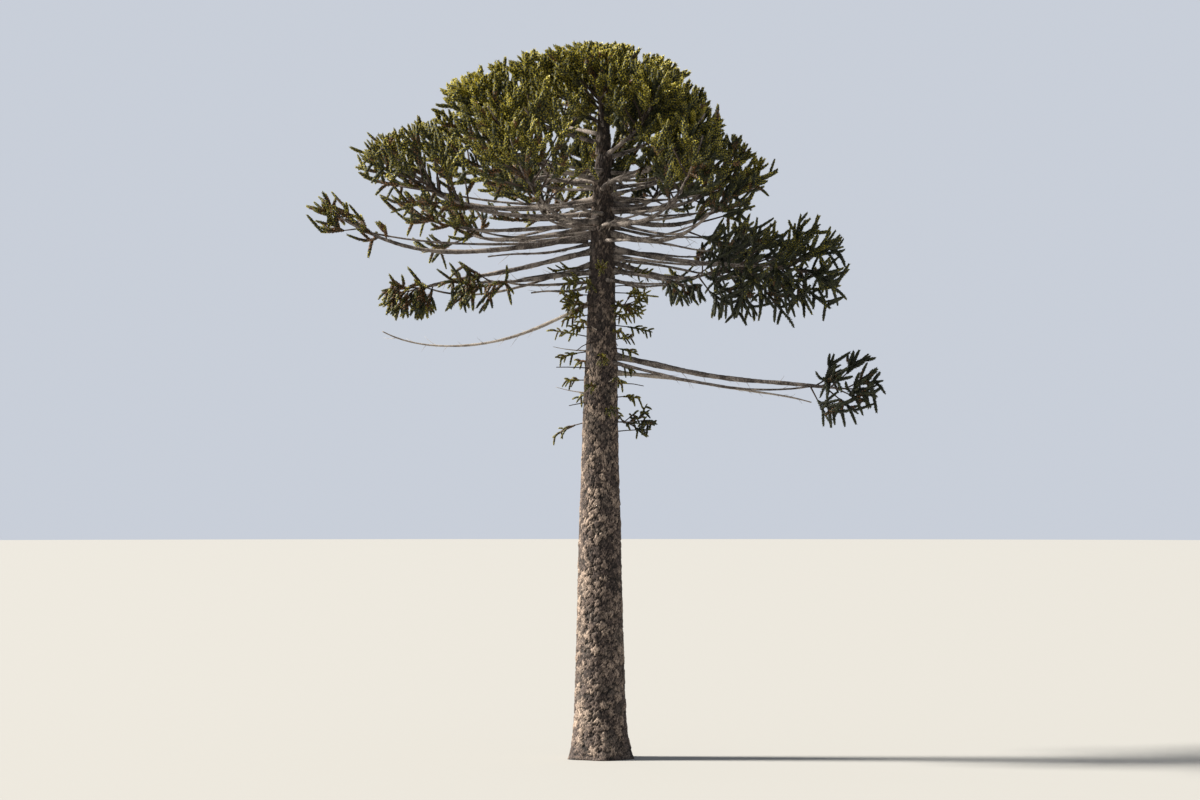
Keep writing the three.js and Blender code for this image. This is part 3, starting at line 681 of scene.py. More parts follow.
class Tree:
    """The limbs and masses of the whole tree, worked out once."""

    def __init__(self):
        self.boughs = make_boughs()
        self.masses = make_masses(self.boughs)
        self.dead = make_dead_boughs()
        no_girth = lambda share: 0 * share
        spines = [Limb(mass["line"], mass["leafy"], 1, STEM_STEPS, no_girth) for mass in self.masses]
        self.spines = Segments(spines)
        limbs = []
        owners = []
        for bough in self.boughs:
            if not bough["hidden"]:
                limbs.append(Limb(bough["line"], 0, bough["bare"], BOUGH_STEPS, bough_radius(bough)))
                owners.append("")
        for mass in self.masses:
            limbs.append(Limb(mass["line"], mass["start"], STEM_END, STEM_STEPS, stem_radius(mass)))
            owners.append(mass["name"])
        for dead in self.dead:
            limbs.append(Limb(dead["line"], 0, 1, FINE_STEPS, dead_radius(dead)))
            owners.append("")
        self.limbs = Segments(limbs)
        self.owners = np.array(owners)
        self.spreads = np.array([mass["spread"] for mass in self.masses])
        self.low = np.array(CAD_BOX[0]) - BOX_ROOM
        self.high = np.array(CAD_BOX[1]) + BOX_ROOM

    def is_free(self, points, margin, girth, number):
        """Whether points are in a mass's own space and off every limb: nearer to its own stem than to any
        other, each distance counted in spreads, and within its limit, the dome and the dome's underside."""
        mass = self.masses[number]
        gaps = self.spines.gaps(points)
        own = gaps[:, number] + margin
        free = own <= SPREAD_LIMIT * mass["spread"]
        if mass["dense"]:
            free &= (points[:, 2] >= underside(points)) & (dome_share(points, mass["dome"]) <= DOME_LIMIT)
        shares = (gaps - margin) / self.spreads
        shares[:, number] = np.inf
        free &= own / mass["spread"] < shares.min(1)
        free &= ((points > self.low) & (points < self.high)).all(1)
        out = np.linalg.norm(points - trunk_axis(points[:, 2]), axis=1) - trunk_radius(points[:, 2])
        free &= (points[:, 2] >= TRUNK_END + girth) | (out >= girth + LIMB_CLEAR)
        near = self.limbs.gaps(points)
        near[:, self.owners == mass["name"]] = np.inf
        return free & (near.min(1) > girth + LIMB_CLEAR)

    def free_shares(self, shoots, start, girth, number):
        """How much of each shoot stays free, from 0 to 1, tested at even steps from its start."""
        t = np.linspace(start, 1, FREE_CHECKS + 1)
        points = shoots.points(np.broadcast_to(t, (len(shoots.length), len(t))))
        free = self.is_free(points.reshape(-1, 3), girth + SPACE_CLEAR, girth, number)
        runs = np.logical_and.accumulate(free.reshape(len(points), -1), axis=1)
        return np.where(runs[:, 0], t[np.maximum(runs.sum(1) - 1, 0)], 0.0)


def cross_frame(heading):
    """The level direction across each heading, and the one nearest to upwards."""
    level = np.cross(UP, heading)
    upright = np.linalg.norm(level, axis=-1) < UPRIGHT
    level[upright] = [1.0, 0.0, 0.0]
    level = unit(level)
    return level, np.cross(heading, level)


def make_twigs(tree, number, finer):
    """The twigs of a mass by the source's rule, with finer times as many: a golden angle apart along the
    stem, leaning forwards, and turned by the mass's lift. Returns the twigs, where their leaves start and
    end, and their numbers."""
    mass = tree.masses[number]
    reach = mass["size"] * SPRAY_LENGTH
    count = round(mass["twigs"] * finer)
    i = np.arange(count)
    along = (i + TWIG_FIRST) / count
    at = mass["leafy"] + (1 - mass["leafy"]) * along
    root = mass["line"](at)
    heading = headings(mass["line"], at)
    level, over = cross_frame(heading)
    angle = (i * GOLDEN + ANY_ANGLE * chance(mass["seed"], 3, 3))[:, None]
    lean = (TWIG_LEAN + TWIG_LEAN_GAIN * along)[:, None]
    turned = heading * lean + level * np.cos(angle) + over * TWIG_FLATNESS * np.sin(angle) + UP * mass["lift"]
    length = mass["spread"] * (TWIG_LENGTH + jitter(mass["seed"], i, 4, TWIG_LENGTH_VARIES)) + reach
    twigs = Shoots(root, unit(turned), length, TWIG_BEND * mass["lift"] * UP)
    girth = SPRAY_GIRTH * mass["size"] * SETTINGS["shoot_radius"]
    free = tree.free_shares(twigs, TWIG_TESTED_FROM, girth, number)
    keep = free * length >= TWIG_LEAST_FREE * reach * FINER_LEAST
    bare = np.maximum(free - reach / length, TWIG_LEAST_BARE)
    return twigs.pick(keep), bare[keep], free[keep], i[keep]


def make_side_sprays(tree, number, twigs, bare, order):
    """The side sprays behind the ends of a mass's twigs, by the source's rule."""
    mass = tree.masses[number]
    reach = mass["size"] * SPRAY_LENGTH
    counts = np.round(mass["fork"] * twigs.length * bare / reach).astype(int)
    twig = np.repeat(np.arange(len(counts)), counts)
    if not len(twig):
        return None
    j = np.concatenate([np.arange(count) for count in counts])
    at = bare[twig] * (SIDE_FIRST - SIDE_RUN * j / counts[twig])
    own = twigs.pick(twig)
    root = own.points(at[:, None])[:, 0]
    heading = own.headings(at[:, None])[:, 0]
    level, over = cross_frame(heading)
    angle = (j * GOLDEN + order[twig] * SIDE_TURN)[:, None]
    aside = SIDE_SPREAD * (level * np.cos(angle) + over * np.sin(angle))
    turned = heading + aside + UP * SIDE_LIFT * mass["lift"]
    length = reach * (SIDE_LENGTH + SIDE_LENGTH_VARIES * chance(mass["seed"], order[twig], j + 9))
    sprays = Shoots(root, unit(turned), length, SIDE_BEND * UP)
    girth = SPRAY_GIRTH * mass["size"] * SETTINGS["shoot_radius"]
    free = tree.free_shares(sprays, SIDE_TESTED_FROM, girth, number)
    keep = free >= SIDE_LEAST_FREE
    return (sprays.pick(keep), free[keep]) if keep.any() else None


def side_shoots(sprays, start, end, seeds, kind, lift):
    """The side shoots that stand along each spray: the side sprays' rule once more, at a finer size. They
    bend away from the crown's heart, or hang where they point down. Returns them and each one's spray and
    number."""
    count = kind["shoots"]
    spray = np.repeat(np.arange(len(sprays.length)), count)
    k = np.tile(np.arange(count), len(sprays.length))
    place = FAN_FIRST + FAN_RUN * (k + chance(seeds[spray], k, 5)) / count
    at = start[spray] + (end - start)[spray] * place
    own = sprays.pick(spray)
    root = own.points(at[:, None])[:, 0]
    heading = own.headings(at[:, None])[:, 0]
    level, over = cross_frame(heading)
    angle = (k * GOLDEN + seeds[spray] * SIDE_TURN)[:, None]
    stray = FAN_STRAYS * np.stack([jitter(seeds[spray], k, 40 + axis, 1.0) for axis in range(3)], axis=1)
    turned = FAN_LEAN * heading + level * np.cos(angle) + over * np.sin(angle) + UP * SIDE_LIFT * lift
    turned = unit(turned + stray)
    length = kind["length"] * (SIDE_LENGTH + SIDE_LENGTH_VARIES * chance(seeds[spray], k, 8))
    steepness = turned[:, 2] + jitter(seeds[spray], k, 12, FAN_HANGS_VARIES)
    hangs = steepness < (FAN_HANGS if lift >= 0 else -FAN_HANGS)
    away = unit(unit(root - CROWN_HEART) + kind["rises"] * UP)
    bend = FAN_BEND * np.where(hangs[:, None], -UP, away)
    return Shoots(root, turned, length, bend), spray, k


def make_fans(tree, number, sprays, start, end, seeds):
    """A mass's side shoots that stay free, and how much of each: its end varies a little, so that the crown's
    outline is uneven."""
    mass = tree.masses[number]
    kind = KINDS[mass["kind"]]
    shoots, spray, k = side_shoots(sprays, start, end, seeds, kind, mass["lift"])
    girth = FAN_CLEAR * kind["girth"] * SETTINGS["shoot_radius"]
    free = tree.free_shares(shoots, SIDE_TESTED_FROM, girth, number)
    keep = free >= SIDE_LEAST_FREE
    free *= 1 - FAN_SHORTENS * chance(seeds[spray], k, 27) ** 2
    return shoots.pick(keep), free[keep], spray[keep], k[keep]


def trunk_sprigs():
    """Small sprigs on the bare trunk, a golden angle apart from the lowest to the highest. Returns them and
    their numbers as seeds."""
    k = np.arange(SPRIG_COUNT)
    foot = SPRIG_LOWEST + (SPRIG_HIGHEST - SPRIG_LOWEST) * ((k + 0.5) / SPRIG_COUNT) ** SPRIG_CROWDING
    out = outward(np.degrees(k * GOLDEN) + SPRIG_TURN)
    root = trunk_axis(foot) + out * (trunk_radius(foot) * SPRIG_ROOT)[:, None]
    heading = unit(out + (jitter(k, 33, 1, SPRIG_SLOPE_VARIES) + SPRIG_SLOPE)[:, None] * UP)
    length = SPRIG_LENGTH * (1 + jitter(k, 33, 2, SPRIG_LENGTH_VARIES))
    droop = SPRIG_DROOP * (1 + jitter(k, 33, 3, SPRIG_DROOP_VARIES))
    return Shoots(root, heading, length, -droop[:, None] * UP), SPRIG_SEED + k


def steady_frames(heading):
    """Two directions across each heading, turned as little as possible along a run of them. The reference is
    upwards, or sideways where the run itself is steep."""
    chord = heading.mean(axis=1)
    steep = np.abs(chord[:, 2]) > STEEP
    reference = np.where(steep[:, None], unit(SIDEWAYS), UP)
    across = unit(np.cross(reference[:, None], heading))
    return across, np.cross(heading, across)


def ring_faces(runs, rings, sides):
    """Triangles between neighbouring rings of many tubes, each of rings times sides corners."""
    run, ring, side = np.meshgrid(np.arange(runs), np.arange(rings - 1), np.arange(sides), indexing="ij")
    base = (run * rings + ring) * sides
    a = base + side
    b = base + (side + 1) % sides
    quads = np.stack([a, b, b + sides, a, b + sides, a + sides], axis=-1)
    return quads.reshape(-1, 3)


def tubes(centre, heading, radius, sides):
    """Closed tubes round many centre lines: a ring of corners at each station, at the radius from the centre,
    and one more corner at each end for its cap. radius has a last axis of sides or 1."""
    runs, rings = centre.shape[:2]
    across, over = steady_frames(heading)
    angle = 2 * np.pi * np.arange(sides) / sides
    out = across[:, :, None] * np.cos(angle)[:, None] + over[:, :, None] * np.sin(angle)[:, None]
    corners = centre[:, :, None] + out * radius[..., None]
    faces = ring_faces(runs, rings, sides)
    body = runs * rings * sides
    k = np.arange(sides)
    first = np.arange(runs)[:, None] * rings * sides + k
    first_next = np.arange(runs)[:, None] * rings * sides + (k + 1) % sides
    last = first + (rings - 1) * sides
    last_next = first_next + (rings - 1) * sides
    foot = np.broadcast_to(body + np.arange(runs)[:, None], first.shape)
    tip = foot + runs
    caps = [np.stack([foot, first_next, first], -1), np.stack([tip, last, last_next], -1)]
    faces = np.concatenate([faces] + [cap.reshape(-1, 3) for cap in caps])
    return np.concatenate([corners.reshape(-1, 3), centre[:, 0], centre[:, -1]]), faces


def join(parts):
    """Several meshes of corners and triangles as one."""
    corners = [part[0] for part in parts]
    starts = np.cumsum([0] + [len(points) for points in corners[:-1]])
    faces = [part[1] + start for part, start in zip(parts, starts)]
    return np.concatenate(corners), np.concatenate(faces)


def make_piece(name, corners, faces, material, slot, smooth=False, attributes=None):
    """A mesh object from arrays of corners and triangles, which rides on the tree's one body."""
    mesh = bpy.data.meshes.new(name)
    mesh.vertices.add(len(corners))
    mesh.vertices.foreach_set("co", corners.astype(np.float32).ravel())
    mesh.loops.add(faces.size)
    mesh.loops.foreach_set("vertex_index", faces.astype(np.int32).ravel())
    mesh.polygons.add(len(faces))
    mesh.polygons.foreach_set("loop_start", np.arange(0, faces.size, 3, dtype=np.int32))
    mesh.polygons.foreach_set("use_smooth", np.full(len(faces), smooth))
    for key, values in (attributes or {}).items():
        data = mesh.attributes.new(key, "FLOAT", "POINT").data
        data.foreach_set("value", values.astype(np.float32).ravel())
    mesh.materials.append(material)
    mesh.update(calc_edges=True)
    mesh.validate()
    piece = bpy.data.objects.new(name, mesh)
    bpy.context.scene.collection.objects.link(piece)
    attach(piece, "root")
    return piece


def scale_leaves(shoots, start, end, share, size, seeds):
    """Scale leaves round shoots, a golden angle apart: each is a wedge of four faces, with its base across
    the shoot's stem, its tip forwards and out at the shoot's radius, and a keel between them. The radius
    swells from the shoot's foot, holds, and closes to a blunt bud. Returns each leaf's four corners."""
    i = np.arange(len(share))
    t = start[:, None] + (end - start)[:, None] * share
    centre = shoots.points(t)
    heading = shoots.headings(t)
    across, over = steady_frames(heading)
    angle = (i * GOLDEN)[None, :, None] + (LEAF_TURN_VARIES * chance(seeds, 4, 2))[:, None, None]
    out = across * np.cos(angle) + over * np.sin(angle)
    side = np.cross(heading, out)
    size = size[:, None, None]
    swell = np.interp(share, SHOOT_PLACES, SHOOT_SWELLS)[None, :, None]
    core = CORE_GIRTH * SETTINGS["shoot_radius"] * size * swell
    reach_varies = 1 + jitter(seeds[:, None], i, 6, LEAF_REACH_VARIES)[..., None]
    length_varies = 1 + jitter(seeds[:, None], i, 7, LEAF_LENGTH_VARIES)[..., None]
    radius = SETTINGS["shoot_radius"] * size * swell * reach_varies
    length = SETTINGS["leaf_length"] * size * length_varies
    width = SETTINGS["leaf_width"] * size * (0.5 + 0.5 * swell)
    base = centre + out * core * LEAF_DEPTH
    tip = centre + out * radius + heading * length
    keel = centre + out * (0.5 * core + 0.5 * radius + KEEL_OUT * width) + heading * KEEL_FORWARDS * length
    left = base - side * 0.5 * width
    right = base + side * 0.5 * width
    return np.stack([left, right, tip, keel], axis=2)


def leaf_faces(count):
    """The four triangles of each of many leaves."""
    wedge = np.array([[0, 3, 1], [0, 2, 3], [3, 2, 1], [0, 1, 2]])
    return ((4 * np.arange(count))[:, None, None] + wedge).reshape(-1, 3)


def shoot_cores(shoots, start, end, size):
    """The stems inside leafy shoots: tubes that thin towards a blunt tip."""
    t = start[:, None] + (end - start)[:, None] * CORE_PLACES
    radius = CORE_GIRTH * SETTINGS["shoot_radius"] * CORE_SWELLS
    rings = np.broadcast_to((size[:, None] * radius)[..., None], t.shape + (SHOOT_SIDES,))
    return tubes(shoots.points(t), shoots.headings(t), rings, SHOOT_SIDES)


def bare_twigs(twigs, end, size):
    """Bare twigs from the stem to where their leaves start."""
    share = np.linspace(0, 1, TWIG_RINGS)
    t = end[:, None] * share
    radius = SETTINGS["twig_radius"] * (TWIG_FOOT_SHARE - TWIG_THINS * share)
    rings = np.broadcast_to((size * radius)[None, :, None], t.shape + (TWIG_SIDES,))
    return tubes(twigs.points(t), twigs.headings(t), rings, TWIG_SIDES)


def leaf_tones(points, rust, keys, share, lighter):
    """The number of the leaf colour for each leaf of shoots that end at points. A shoot's tone goes from
    yellow-green on the crown's upper side to deep green low down and inside, with some chance: painted
    sunlight above and painted shade below and inside, lighter too towards the sun and on the sunny underside.
    Leaves near its tip are one tone lighter, for young growth and a painted highlight, and those near its
    base one darker, painted shade, where they have not browned."""
    out = np.hypot(points[:, 0], points[:, 1]) / DOME_RADIUS
    height = (points[:, 2] - CROWN_FLOOR) / (TREE_HEIGHT - CROWN_FLOOR)
    across = points[:, 0] / DOME_RADIUS
    sunny = TONE_BY_HEIGHT * height + TONE_OUTWARDS * out - TONE_SUNWARDS * across
    sun_side = np.clip(SUN_SIDE - across, 0, 1)
    sunny += lighter + UNDERSIDE_LIGHT * sun_side * np.clip(-LIGHT_GROWS * height, 0, 1)
    score = sunny + jitter(keys, 11, 13, TONE_VARIES) + jitter(np.floor(keys), 51, 3, TONE_SPRAY_VARIES)
    tone = np.digitize(score, TONE_STEPS)[:, None] + (share > TIP_SHARE)
    tone = np.maximum(tone - (share < BASE_SHARE), 0)
    rust = RUST_SHOWS * rust + UNDERSIDE_RUST * sun_side * np.clip(1 - RUST_FADES * height, 0, 1)
    browned = (chance(keys, 17, 19) < rust)[:, None] & (share < BROWN_SHARE)
    return np.where(browned, TONES.index("leaf_rust"), tone)


def read_settings():
    """The panel's sizes as plain numbers."""
    sizes = bpy.context.scene.tree_sizes
    for key in TreeSizes.__annotations__:
        SETTINGS[key] = getattr(sizes, key)


def add_node(tree, kind, inputs=None, **settings):
    """Adds a node with its settings. An input is a value, or another node's output socket."""
    node = tree.nodes.new(kind)
    for key, value in settings.items():
        setattr(node, key, value)
    for key, value in (inputs or {}).items():
        if isinstance(value, bpy.types.NodeSocket):
            tree.links.new(value, node.inputs[key])
        else:
            node.inputs[key].default_value = value
    return node


def new_material(name, roughness, colour=None):
    """A material with a Principled shader, and its linear colour. Returns it, its node tree and the
    shader."""
    material = bpy.data.materials.new(name)
    material.use_nodes = True
    shader = material.node_tree.nodes["Principled BSDF"]
    shader.inputs["Roughness"].default_value = roughness
    if colour is not None:
        shader.inputs["Base Color"].default_value = colour
    return material, material.node_tree, shader


def set_ramp(node, stops):
    """Sets a colour ramp's stops from pairs of place and sRGB hex."""
    ramp = node.color_ramp
    while len(ramp.elements) > 1:
        ramp.elements.remove(ramp.elements[-1])
    for k, (place, colour) in enumerate(stops):
        stop = ramp.elements[0] if k == 0 else ramp.elements.new(place)
        stop.position = place
        stop.color = linear(colour)


def plated_bark():
    """Old bark in thick corky plates. Fissures between them are near black, partly their own dark and partly
    painted shade, and the plates' faces weathered to greys and beiges, each plate in its own tone, with fine
    flaking and a little lichen. Inside the crown the bark is darkened further by painted crown shade."""
    material, tree, shader = new_material("Plated conifer bark", 0.92)
    place = add_node(tree, "ShaderNodeTexCoord").outputs["Object"]
    height = add_node(tree, "ShaderNodeAttribute", attribute_name="plate_height").outputs["Fac"]
    tone = add_node(tree, "ShaderNodeAttribute", attribute_name="plate_tone").outputs["Fac"]
    # Flakes are about 25 mm across, and stretched up the trunk. Patches of lichen are about half a metre.
    stretched = add_node(tree, "ShaderNodeMapping", {"Vector": place, "Scale": (1.0, 1.0, 0.45)}).outputs[0]
    flakes = add_node(tree, "ShaderNodeTexNoise", {"Vector": stretched, "Scale": 40.0, "Detail": 4.0})
    patches = add_node(tree, "ShaderNodeTexNoise", {"Vector": place, "Scale": 1.7, "Detail": 3.0})
    mixed = add_node(tree, "ShaderNodeMath", {0: tone, 1: 0.28, 2: flakes.outputs["Fac"]},
                     operation="MULTIPLY_ADD")
    faces = add_node(tree, "ShaderNodeValToRGB", {"Fac": mixed.outputs[0]})
    set_ramp(faces, [(0.4, "#251e1b"), (0.56, "#463b37"), (0.7, "#6e5f55"), (0.86, "#b09c8b")])
    lichen = add_node(tree, "ShaderNodeValToRGB", {"Fac": patches.outputs["Fac"]})
    set_ramp(lichen, [(0.5, "#000000"), (0.68, "#565656")])
    layers = {0: lichen.outputs[0], 6: faces.outputs[0], 7: linear("#8b887a")}
    grown = add_node(tree, "ShaderNodeMix", layers, data_type="RGBA")
    # The fissures are painted near black: partly the bark's own dark, partly painted shade in them.
    raised = add_node(tree, "ShaderNodeValToRGB", {"Fac": height})
    set_ramp(raised, [(0.05, "#000000"), (0.85, "#ffffff")])
    layers = {0: raised.outputs[0], 6: linear("#120e0c"), 7: grown.outputs[2]}
    whole = add_node(tree, "ShaderNodeMix", layers, data_type="RGBA")
    # Bark inside the crown is darker: painted shade of the crown over it, with younger bark there too. It
    # fades in between these heights.
    level = add_node(tree, "ShaderNodeSeparateXYZ", {0: place}).outputs["Z"]
    crown = {"Value": level, "From Min": 10.5, "From Max": 14.5, "To Max": 0.6}
    crown_darkening = add_node(tree, "ShaderNodeMapRange", crown)
    layers = {0: crown_darkening.outputs[0], 6: whole.outputs[2], 7: linear("#2c2522")}
    darkened_bark = add_node(tree, "ShaderNodeMix", layers, data_type="RGBA")
    relief = {"Height": flakes.outputs["Fac"], "Distance": 0.008, "Strength": 0.6}
    bump = add_node(tree, "ShaderNodeBump", relief)
    tree.links.new(darkened_bark.outputs[2], shader.inputs["Base Color"])
    tree.links.new(bump.outputs[0], shader.inputs["Normal"])
    return material


def limb_bark(name, stops, roughness):
    """Thinner bark on limbs: rough with old leaf bases a few centimetres apart, in greys over brown."""
    material, tree, shader = new_material(name, roughness)
    place = add_node(tree, "ShaderNodeTexCoord").outputs["Object"]
    # Leaf bases are about 40 mm apart. Weathered patches run to about a third of a metre.
    bases = add_node(tree, "ShaderNodeTexVoronoi", {"Vector": place, "Scale": 25.0}).outputs["Distance"]
    patches = add_node(tree, "ShaderNodeTexNoise", {"Vector": place, "Scale": 3.0, "Detail": 5.0})
    mixed = add_node(tree, "ShaderNodeMath", {0: bases, 1: 0.35, 2: patches.outputs["Fac"]},
                     operation="MULTIPLY_ADD")
    colour = add_node(tree, "ShaderNodeValToRGB", {"Fac": mixed.outputs[0]})
    set_ramp(colour, stops)
    bump = add_node(tree, "ShaderNodeBump", {"Height": bases, "Distance": 0.01, "Strength": 0.7})
    tree.links.new(colour.outputs[0], shader.inputs["Base Color"])
    tree.links.new(bump.outputs[0], shader.inputs["Normal"])
    return material


def plate_cells(angle, height, radius):
    """Cells of the bark: seeds lie on a jittered grid round the trunk, a column for each plate, whose
    edges waver by sines with whole counts of waves round it. Returns how far a point is inside its plate,
    in metres, and the plate's own number from 0 to 1."""
    tall = SETTINGS["plate_height"]
    wide = 2 * np.pi * radius / PLATES_ROUND
    wave = np.sin(31 * height + 3 * np.sin(9 * angle))
    wave = wave + 0.6 * np.sin(67 * height + 5 * np.sin(17 * angle + height))
    across = angle / (2 * np.pi) * PLATES_ROUND + EDGE_WAVERS * wave
    up = height / tall + LEVEL_WAVERS * np.sin(26 * angle + 4 * np.sin(5 * height))
    up = up + LEVEL_WAVERS_FINE * np.sin(53 * angle + 9 * height)
    nearest = np.full(angle.shape, np.inf)
    second = np.full(angle.shape, np.inf)
    number = np.zeros(angle.shape)
    for i in (-1, 0, 1):
        for j in (-1, 0, 1):
            column = np.floor(across) + i
            row = np.floor(up) + j
            wrapped = np.mod(column, PLATES_ROUND)
            seed_across = column + 0.5 + jitter(wrapped, row, 1, PLATE_STRAYS_ROUND)
            seed_up = row + 0.5 * np.mod(wrapped, 2) + 0.25 + jitter(wrapped, row, 2, PLATE_STRAYS_UP)
            distance = np.hypot((seed_across - across) * wide, (seed_up - up) * tall)
            closer = distance < nearest
            second = np.where(closer, nearest, np.minimum(second, distance))
            number = np.where(closer, chance(wrapped, row, 3), number)
            nearest = np.minimum(nearest, distance)
    return second - nearest, number


def trunk_relief(angle, height, radius, boughs):
    """How far the bark stands out: plates raised above fissures, each at its own level, faint old rings round
    the trunk, broad furrows, and a collar round each bough's foot."""
    inside, number = plate_cells(angle, height, radius)
    plate = np.clip(inside / PLATE_EDGE, 0, 1)
    plate = plate * plate * (3 - 2 * plate)
    depth = SETTINGS["plate_depth"] * (1 - DEPTH_FADES * height / TRUNK_END)
    relief = depth * (plate * (PLATE_LEVEL + PLATE_LEVEL_VARIES * number) - FISSURE_LEVEL)
    turns = height / RING_SPACING + RING_WAVERS * np.sin(angle * 2 + height)
    ring = np.abs(np.mod(turns, 1) - 0.5) * RING_SPACING
    relief += RING_HEIGHT * np.exp(-((ring / RING_WIDTH) ** 2))
    furrows = FURROW_DEPTH * np.sin(FURROWS_ROUND * angle + 1.3 * np.sin(0.9 * height))
    relief += furrows * np.sin(0.7 * height + angle)
    for bough in boughs:
        turn = np.angle(np.exp(1j * (angle - math.radians(bough["azimuth"]))))
        around = turn * radius
        over = height - bough["foot"]
        relief += COLLAR_HEIGHT * np.exp(-(around**2 + over**2) / (COLLAR_WIDTH * bough["thick"]) ** 2)
    return relief, plate, number


def size_property(name, description, default, least, most):
    """A size in metres, with its limits."""
    return bpy.props.FloatProperty(
        name=name, description=description, default=default, min=least, max=most, subtype="DISTANCE",
        unit="LENGTH")


def colour_property(name, description, default):
    """A colour, from an sRGB hex string."""
    return bpy.props.FloatVectorProperty(
        name=name, description=description, default=linear(default), size=4, min=0.0, max=1.0,
        subtype="COLOR")


class TreeSizes(bpy.types.PropertyGroup):
    """Sizes of the bark and leaves."""

    shoot_radius: size_property("Shoot radius", "From a shoot's middle to its leaves' tips", 0.088, 0.02, 0.2)
    leaf_length: size_property("Leaf length", "From a scale leaf's base to its tip", 0.07, 0.01, 0.2)
    leaf_width: size_property("Leaf width", "Across a scale leaf's base", 0.078, 0.005, 0.1)
    twig_radius: size_property("Twig radius", "Of a bare twig where it leaves the limb", 0.027, 0.005, 0.1)
    plate_height: size_property("Plate height", "Height of a bark plate", 0.25, 0.05, 0.6)
    plate_depth: size_property("Fissure depth", "Depth of the fissures between plates", 0.05, 0.0, 0.1)


class TreeColours(bpy.types.PropertyGroup):
    """Colours of leaves and floor."""

    # The leaf greens run from painted shade to painted sunlight, partly young growth at the yellow end; rust
    # is the leaves' own brown.
    leaf_shade: colour_property("Shade green", "Leaves deep in the crown and on its lower side", "#23251a")
    leaf_deep: colour_property("Deep green", "Leaves of the crown's flanks", "#434523")
    leaf_mid: colour_property("Mid green", "Most leaves of the crown", "#837b29")
    leaf_olive: colour_property("Olive", "Leaves of the outer crown", "#a39733")
    leaf_yellow: colour_property("Yellow-green", "Young leaves on the sunny top", "#beb03f")
    leaf_rust: colour_property("Rust brown", "Old and browned leaves", "#74502f")
    floor: colour_property("Floor", "The pale floor", "#9b9a97")


class TREE_OT_trunk(bpy.types.Operator):
    """Builds the trunk: rings of corners round its axis at the source's radius and flare, with bark relief"""

    bl_idname = "tree.trunk"
    bl_label = "Build trunk"

    def execute(self, context):
        read_settings()
        angle = 2 * np.pi * np.arange(TRUNK_COLUMNS) / TRUNK_COLUMNS
        height = TRUNK_END * np.arange(TRUNK_ROWS + 1) / TRUNK_ROWS
        angle, height = np.meshgrid(angle, height)
        radius = trunk_radius(height) * flare(height, angle)
        relief, plate, number = trunk_relief(angle, height, radius, make_boughs() + make_dead_boughs())
        radius = radius + relief * np.clip(height / FOOT_FADE, FOOT_RELIEF, 1)
        out = np.stack([np.cos(angle), np.sin(angle), 0 * angle], axis=-1)
        corners = (trunk_axis(height) + out * radius[..., None]).reshape(-1, 3)
        # The last two corners are the middles of the flat ends.
        k = np.arange(TRUNK_COLUMNS)
        after = (k + 1) % TRUNK_COLUMNS
        top = TRUNK_ROWS * TRUNK_COLUMNS
        foot = np.stack([np.full_like(k, len(corners)), after, k], -1)
        head = np.stack([np.full_like(k, len(corners) + 1), top + k, top + after], -1)
        faces = np.concatenate([ring_faces(1, TRUNK_ROWS + 1, TRUNK_COLUMNS), foot, head])
        corners = np.concatenate([corners, trunk_axis(np.array([0.0, TRUNK_END]))])
        middles = [0.5, 0.5]
        attributes = {
            "plate_height": np.append(plate.ravel(), middles),
            "plate_tone": np.append(number.ravel(), middles),
        }
        piece = make_piece("trunk_bark", corners, faces, plated_bark(), "trunk_bark", True, attributes)
        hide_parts("trunk")
        return {"FINISHED"}


def limb_tube(line, start, end, radius_at, seed, rings=LIMB_RINGS, collar=0.0):
    """One limb's tube: its radius with rings of old leaf bases, slow swellings, and a collar at the trunk
    that fades with the distance from it."""
    share = np.linspace(0, 1, rings)
    t = start + (end - start) * share
    centre = line(t)[None]
    heading = headings(line, t)[None]
    radius = radius_at(t)[:, None]
    angle = 2 * np.pi * np.arange(LIMB_SIDES) / LIMB_SIDES
    keys = np.arange(rings)[:, None]
    rough = jitter(seed + keys, np.arange(LIMB_SIDES), 3, LIMB_ROUGH)
    swell = LIMB_SWELL * np.sin(share[:, None] * LIMB_SWELL_WAVES + seed)
    swell = swell + LIMB_OVAL * np.sin(2 * angle + share[:, None] * LIMB_OVAL_WAVES + seed)
    from_trunk = np.linalg.norm((centre[0] - trunk_axis(centre[0][:, 2]))[:, :2], axis=1)
    beyond = np.maximum(from_trunk - trunk_radius(centre[0][:, 2]), 0)[:, None]
    grown = radius * (1 + rough + swell + collar * np.exp(-beyond / COLLAR_REACH))
    return tubes(centre, heading, grown[None], LIMB_SIDES)


def sprig_tubes(line, bare, count, seed, radius):
    """Dead sprigs on the bare stretch of a limb: short bent tubes, one in each of so many even steps and at
    a seeded place in it, to the left and right in turn."""
    k = np.arange(count)
    t = bare * (STUB_FIRST + STUB_RUN * (k + chance(seed, k, 21)) / count)
    root = line(t)
    heading = headings(line, t)
    level, over = cross_frame(heading)
    side = np.where(np.mod(k, 2) == 0, 1.0, -1.0)[:, None]
    slope = jitter(seed, k, 22, STUB_SLOPE_VARIES)[:, None]
    turned = unit(STUB_LEAN * heading + side * level * STUB_ASIDE + slope * UP - STUB_DROOP * UP)
    length = STUB_LENGTH + STUB_LENGTH_VARIES * chance(seed, k, 23) ** 2
    sprigs = Shoots(root, turned, length, jitter(seed, k, 24, STUB_BEND_VARIES)[:, None] * UP)
    share = np.broadcast_to(np.linspace(0, 1, STUB_RINGS), (count, STUB_RINGS))
    rings = (radius * (1 - STUB_THINS * share))[..., None] * np.ones(STUB_SIDES)
    return tubes(sprigs.points(share), sprigs.headings(share), rings, STUB_SIDES)


